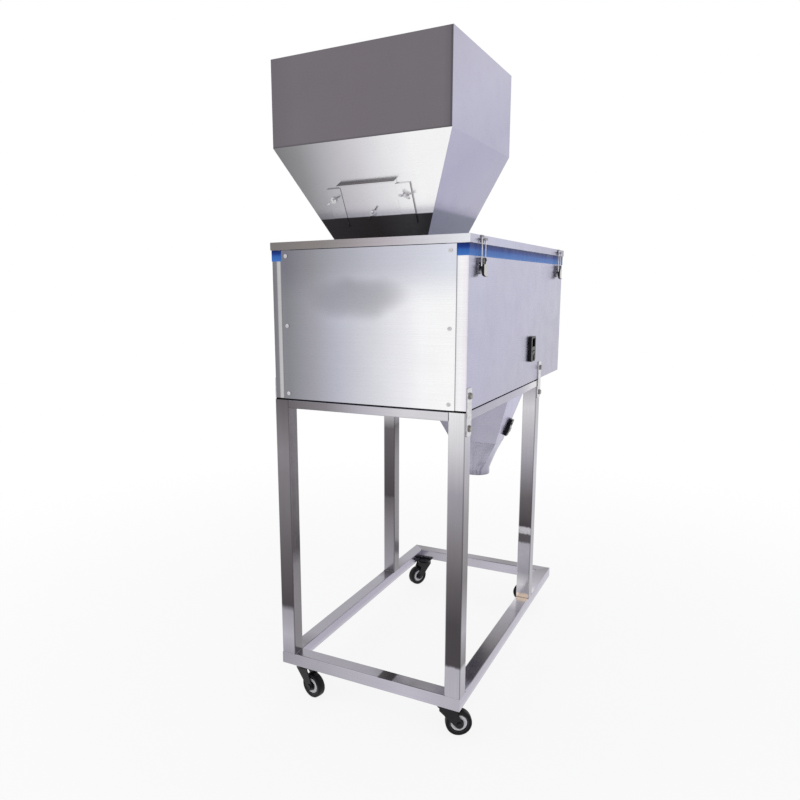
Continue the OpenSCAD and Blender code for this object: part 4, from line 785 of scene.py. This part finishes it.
def dress_spout():
    """Spout as one smooth skin: a rectangle at the seam that turns round towards a rounded rim."""
    low, high = (Vector(end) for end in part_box("spout"))
    centre, seam = (low + high) / 2, (high - low) / 2
    radius = max(v.co.x for v in frame["nodes"]["spout"].data.vertices if v.co.z < low.z + SPOUT_END / 2)

    def loop(share, inward, z):
        """Share 0 is the rectangle and share 1 the circle, both drawn in by the same distance."""
        ring = []
        for i in range(SPOUT_POINTS):
            angle = math.tau * i / SPOUT_POINTS
            turn = Vector((math.cos(angle), math.sin(angle)))
            square = turn / max(abs(turn.x), abs(turn.y)) * (1 - share)
            round_part = turn * share * (radius - inward)
            ring.append(Vector((centre.x + square.x * (seam.x - inward) + round_part.x,
                                centre.y + square.y * (seam.y - inward) + round_part.y, z)))
        return ring

    top, bend = high.z, low.z + SPOUT_END
    taper = [(i / SPOUT_LEVELS, top + (bend - top) * i / SPOUT_LEVELS) for i in range(SPOUT_LEVELS + 1)]
    outside = [(share, 0.0, z) for share, z in taper] + [(1, 0.0, low.z + RIM)]
    rim = [(1, RIM * 0.3, low.z + RIM * 0.3), (1, RIM, low.z), (1, SHEET - RIM, low.z),
           (1, SHEET - RIM * 0.3, low.z + RIM * 0.3)]
    inside = [(share, SHEET, z) for share, z in reversed([*taper, (1, low.z + RIM)])]
    bm = bmesh.new()
    skin(bm, [loop(*row) for row in outside + rim + inside])
    finish_piece("spout_smooth", bm, "chute", body_of("spout"), ("spout",))


# Attribute that holds the way a repeated shape lies
WAY = "way"


class Tree:
    """A Geometry Nodes tree with named inputs, and short calls for the nodes that the trees share."""

    def __init__(self, name, sizes):
        self.group = bpy.data.node_groups.new(name, "GeometryNodeTree")
        face = self.group.interface
        face.new_socket("Geometry", in_out="INPUT", socket_type="NodeSocketGeometry")
        for label in sizes:
            face.new_socket(label, in_out="INPUT", socket_type="NodeSocketFloat")
        face.new_socket("Finish", in_out="INPUT", socket_type="NodeSocketMaterial")
        face.new_socket("Geometry", in_out="OUTPUT", socket_type="NodeSocketGeometry")
        self.given = self.group.nodes.new("NodeGroupInput").outputs

    def add(self, kind, inputs=(), **settings):
        """Adds a node, feeds its sockets by name with values or other sockets, and returns its outputs."""
        node = self.group.nodes.new(kind)
        for key, value in settings.items():
            setattr(node, key, value)
        for key, value in dict(inputs).items():
            if isinstance(value, bpy.types.NodeSocket):
                self.group.links.new(value, node.inputs[key])
            else:
                node.inputs[key].default_value = value
        return node.outputs

    def size(self, x, y, z):
        return self.add("ShaderNodeCombineXYZ", {"X": x, "Y": y, "Z": z})[0]

    def turned(self):
        """Turn that lays a shape's Z along the point's own way."""
        way = self.add("GeometryNodeInputNamedAttribute", {"Name": WAY}, data_type="FLOAT_VECTOR")
        return self.add("FunctionNodeAlignRotationToVector", {"Vector": way[0]}, axis="Z")[0]

    def spread(self, points, shape, turn, scale):
        """Puts the shape on every point, realizes the copies and gives them the finish."""
        copies = self.add("GeometryNodeInstanceOnPoints",
                          {"Points": points, "Instance": shape, "Rotation": turn, "Scale": scale})
        real = self.add("GeometryNodeRealizeInstances", {"Geometry": copies[0]})
        done = self.add("GeometryNodeSetMaterial", {"Geometry": real[0], "Material": self.given["Finish"]})
        out = self.group.nodes.new("NodeGroupOutput")
        self.group.links.new(done[0], out.inputs[0])
        return self.group


def weld_tree():
    """Ripples of a weld along the base mesh's edges, each a flat bead a little unlike the next."""
    t = Tree("weld_ripples", ("Bead radius", "Pitch"))
    path = t.add("GeometryNodeMeshToCurve", {"Mesh": t.given["Geometry"]})
    steps = t.add("GeometryNodeCurveToPoints", {"Curve": path[0], "Length": t.given["Pitch"]}, mode="LENGTH")
    bead = t.add("GeometryNodeMeshUVSphere", {"Segments": 8, "Rings": 5, "Radius": 1.0})
    wander = t.add("FunctionNodeRandomValue", {2: 0.8, 3: 1.15, "Seed": 7}, data_type="FLOAT")
    across = t.add("ShaderNodeMath", {0: wander["Value"], 1: t.given["Bead radius"]}, operation="MULTIPLY")
    along = t.add("ShaderNodeMath", {0: t.given["Pitch"], 1: 0.8}, operation="MULTIPLY")
    size = t.size(across[0], across[0], along[0])
    return t.spread(steps["Points"], bead["Mesh"], steps["Rotation"], size)


def rivet_tree():
    """A domed head on every point of the base mesh, facing along the point's own way."""
    t = Tree("rivet_heads", ("Head radius", "Head height"))
    head = t.add("GeometryNodeMeshUVSphere", {"Segments": 12, "Rings": 4, "Radius": 1.0})
    size = t.size(t.given["Head radius"], t.given["Head radius"], t.given["Head height"])
    return t.spread(t.given["Geometry"], head["Mesh"], t.turned(), size)


def bar_tree():
    """A small bar on every point of the base mesh, lying along the point's own way."""
    t = Tree("small_bars", ("Length", "Width"))
    bar = t.add("GeometryNodeMeshCube", {"Size": (1.0, 1.0, 1.0)})
    size = t.size(t.given["Width"], t.given["Width"], t.given["Length"])
    return t.spread(t.given["Geometry"], bar["Mesh"], t.turned(), size)


def grown(name, base, tree, sizes, material, body, smooth=True):
    """Runs a Geometry Nodes tree on a base mesh and keeps the result as a plain piece."""
    piece = bpy.data.objects.new(name, base)
    bpy.context.collection.objects.link(piece)
    grow = piece.modifiers.new("grow", "NODES")
    grow.node_group = tree
    values = {**sizes, "Finish": finish[material]}
    for item in tree.interface.items_tree:
        if item.in_out == "INPUT" and item.name in values:
            grow[item.identifier] = values[item.name]
    settle(piece, grow)
    for face in piece.data.polygons:
        face.use_smooth = smooth
    declare(piece, body, ())


# Distance between ripples and height of a rivet head, each as a share of the radius
PITCH_SHARE = 1.4
DOME_SHARE = 0.45


def weld(name, paths, radius, tree):
    """Weld ripples along paths of points on the stand, which is one body."""
    points, edges = [], []
    for path in paths:
        edges += [(len(points) + i, len(points) + i + 1) for i in range(len(path) - 1)]
        points += path
    base = bpy.data.meshes.new(name)
    base.from_pydata(points, edges, [])
    sizes = {"Bead radius": radius, "Pitch": radius * PITCH_SHARE}
    grown(name, base, tree, sizes, "weld", FIXED)


def dots_with_ways(name, places):
    """Loose points from (place, way) pairs, each with its way as an attribute."""
    base = bpy.data.meshes.new(name)
    base.from_pydata([place for place, way in places], [], [])
    ways = base.attributes.new(WAY, "FLOAT_VECTOR", "POINT")
    for item, (place, way) in zip(ways.data, places):
        item.vector = way
    return base


def rivet(name, places, radius, tree, node):
    """Rivet heads at (place, outward) pairs, in bright steel and on the same body as a CAD node."""
    sizes = {"Head radius": radius, "Head height": radius * DOME_SHARE}
    grown(name, dots_with_ways(name, places), tree, sizes, "bright", body_of(node))


def bars(name, places, length, width, tree, material, node):
    """Small bars at (place, way) pairs on the body of a CAD node."""
    grown(name, dots_with_ways(name, places), tree, {"Length": length, "Width": width}, material,
          body_of(node), smooth=False)


def middle_of(node):
    """Middle of a CAD node's box."""
    low, high = (Vector(end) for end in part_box(node))
    return (low + high) / 2


# Rivets of the draw latches: how far they lie below the lever's pivot or the lid's top, to each side
# of the latch's middle, and out from the sheet that carries the plate
LEVER_PIVOT_Z = next(row["pos_m"][2] for row in frame["record"]["behaviour"]["joints"]
                     if row["name"] == "latch_lever_rear_left")
BASE_RIVETS_DOWN = (24 * MM, 10 * MM)
BASE_RIVETS_ASIDE = 10 * MM
BASE_FACE = 2 * MM
BASE_RIVET_RADIUS = 1.7 * MM
KEEPER_RIVETS_DOWN = 13.5 * MM
KEEPER_RIVETS_ASIDE = 6 * MM
KEEPER_FACE = 2.1 * MM
KEEPER_RIVET_RADIUS = 1.3 * MM


def rivet_latches(tree):
    """Four rivets in each latch base and two in each keeper."""
    bases, keepers = [], []
    for end, side in CORNERS:
        outer, away = (0, -1) if side == "left" else (1, 1)
        outward = Vector((away, 0, 0))
        panel_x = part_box(f"side_panel_{side}")[outer][0] + away * BASE_FACE
        lid_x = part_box("lid")[outer][0] + away * KEEPER_FACE
        keeper_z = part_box("lid")[1][2] - KEEPER_RIVETS_DOWN
        middle_y = middle_of(f"lever_{end}_{side}").y
        for across in (-1, 1):
            for down in BASE_RIVETS_DOWN:
                place = Vector((panel_x, middle_y + across * BASE_RIVETS_ASIDE, LEVER_PIVOT_Z - down))
                bases.append((place, outward))
            keepers.append((Vector((lid_x, middle_y + across * KEEPER_RIVETS_ASIDE, keeper_z)), outward))
    rivet("latch_base_rivets", bases, BASE_RIVET_RADIUS, tree, "latch_bases")
    rivet("latch_keeper_rivets", keepers, KEEPER_RIVET_RADIUS, tree, "latch_keepers")


# The display's digits: half height, width between the upright bars, gap at the bars' ends, pitch
DIGITS = 4
DIGIT_HALF = 9 * MM
DIGIT_WIDE = 8 * MM
DIGIT_GAP = 1.2 * MM
DIGIT_PITCH = 17 * MM
DIGIT_BAR = 1.3 * MM
LEVEL_WAY, UPRIGHT_WAY = Vector((1, 0, 0)), Vector((0, 0, 1))


def light_digits(tree):
    """Digits of seven bars on the display window, all at nought: the middle bars are dark."""
    centre = middle_of("display_window")
    centre.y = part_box("display_window")[0][1]
    upright_x = (DIGIT_WIDE + DIGIT_GAP) / 2
    lit, dark = [], []
    for k in range(DIGITS):
        middle = centre + LEVEL_WAY * (k - (DIGITS - 1) / 2) * DIGIT_PITCH
        for up in (-1, 0, 1):
            (lit if up else dark).append((middle + UPRIGHT_WAY * up * DIGIT_HALF, LEVEL_WAY))
        for up in (-1, 1):
            for across in (-1, 1):
                place = middle + LEVEL_WAY * across * upright_x + UPRIGHT_WAY * up * DIGIT_HALF / 2
                lit.append((place, UPRIGHT_WAY))
    for name, places, material in (("lit", lit, "digit"), ("dark", dark, "digit_dark")):
        bars("digit_bars_" + name, places, DIGIT_WIDE - DIGIT_GAP, DIGIT_BAR, tree, material,
             "display_window")


MARK_LONG, MARK_WIDE = 7 * MM, 1.2 * MM
MARK_RING_RADIUS, MARK_RING_HALF = 3.6 * MM, 0.5 * MM
# Section of the ring, as (share of the radius, share of the half width)
MARK_RING_SHARES = ((1, 0.5), (0.72, 0.5), (0.72, -0.5), (1, -0.5))
KEY_MARKS = {"minus": (LEVEL_WAY,), "plus": (LEVEL_WAY, UPRIGHT_WAY)}


def key_face(node):
    """Middle of a key's front face."""
    place = middle_of(node)
    place.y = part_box(node)[0][1]
    return place


def mark_keys(tree):
    """A minus and a plus in bars on the two pale keys, and a ring on the green one."""
    for key, ways in KEY_MARKS.items():
        node = "key_" + key
        bars(f"key_{key}_mark", [(key_face(node), way) for way in ways], MARK_LONG, MARK_WIDE, tree,
             "ink", node)
    bm = bmesh.new()
    revolve(bm, MARK_RING_SHARES, key_face("key_set"), Vector((0, 1, 0)), MARK_RING_RADIUS,
            MARK_RING_HALF, 40)
    finish_piece("key_set_mark", bm, "mark", body_of("key_set"))


# Socket of the power inlet: its floor from the bezel's face, its middle above the bezel's middle
SOCKET_DEEP = 18 * MM
SOCKET_UP = 17 * MM
BLADE_LONG, BLADE_WIDE = 12 * MM, 2.4 * MM
# The blades' places about the socket's middle, along Y and Z
BLADES = ((-7 * MM, -2 * MM), (0, 3 * MM), (7 * MM, -2 * MM))


def fit_socket(tree):
    """Three contact blades that stand on the floor of the power inlet's socket."""
    middle = middle_of("power_inlet")
    middle.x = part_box("power_inlet")[0][0] + SOCKET_DEEP - BLADE_LONG / 2
    blades = [(middle + Vector((0, along, SOCKET_UP + up)), LEVEL_WAY) for along, up in BLADES]
    bars("inlet_contacts", blades, BLADE_LONG, BLADE_WIDE, tree, "contact", "power_inlet")


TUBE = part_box("leg_rear_left")[1][0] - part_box("leg_rear_left")[0][0]
TUBE_CORNER = 3 * MM
FOOT_BEAD = 1.1 * MM
JOINT_BEAD = 0.9 * MM


def weld_stand(tree):
    """Welds at the feet and the heads of the legs and in the corners of the base frame."""
    frame_low, frame_high = (Vector(point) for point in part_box("base_side_rails"))
    rail_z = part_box("top_side_rails")[0][2]
    feet, heads, corners = [], [], []
    for end, side in CORNERS:
        low, high = (Vector(point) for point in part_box(f"leg_{end}_{side}"))
        rear = end == "rear"
        inner_x = high.x if side == "left" else low.x
        inner_y = low.y if rear else high.y
        for y in [low.y] if rear else [low.y, high.y]:
            feet.append([(low.x, y, low.z), (high.x, y, low.z)])
        if rear:
            feet.append([(inner_x, low.y, low.z), (inner_x, high.y, low.z)])
        heads.append([(inner_x, low.y + TUBE_CORNER, rail_z), (inner_x, high.y - TUBE_CORNER, rail_z)])
        heads.append([(low.x + TUBE_CORNER, inner_y, rail_z), (high.x - TUBE_CORNER, inner_y, rail_z)])
        base_y = frame_high.y - TUBE if rear else frame_low.y + TUBE
        corners.append([(inner_x, base_y, frame_low.z), (inner_x, base_y, frame_high.z)])
    weld("leg_foot_welds", feet, FOOT_BEAD, tree)
    weld("leg_head_welds", heads, JOINT_BEAD, tree)
    weld("base_corner_welds", corners, JOINT_BEAD, tree)


# Width of the rounding on each copied node's edges, in millimetres
ROUNDED = {
    "hopper": 0.6, "lid": 0.8, "side_panel_left": 0.7, "side_panel_right": 0.7, "rear_panel": 0.4,
    "front_panel": 0.4, "chute": 0.6, "gate_plate": 0.5, "control_panel": 0.8, "control_box": 1.5,
    "feeder_tray": 0.6, "weigh_bucket": 0.4, "latch_bases": 0.3, "latch_keepers": 0.3,
    "joining_plates": 0.5, "power_inlet": 1.2, "bag_switch": 0.7, "load_cell": 0.8,
    **{f"fork_{end}_{side}": 0.4 for end, side in CORNERS},
    **{f"lever_{end}_{side}": 0.3 for end, side in CORNERS},
}


# The scene

add_camera()
add_world()
add_floor()
for lamp_name, lamp_at, lamp_watts in LAMPS:
    add_lamp(lamp_name, lamp_at, lamp_watts)
dress_nodes()
for node_name, fold in ROUNDED.items():
    rounded_copy(node_name, fold * MM)
for end, side in CORNERS:
    dress_wheel(f"{end}_{side}")
dress_spout()
ripples, heads, small_bars = weld_tree(), rivet_tree(), bar_tree()
weld_stand(ripples)
rivet_latches(heads)
light_digits(small_bars)
mark_keys(small_bars)
fit_socket(small_bars)

bpy.context.scene.view_settings.view_transform = "Standard"
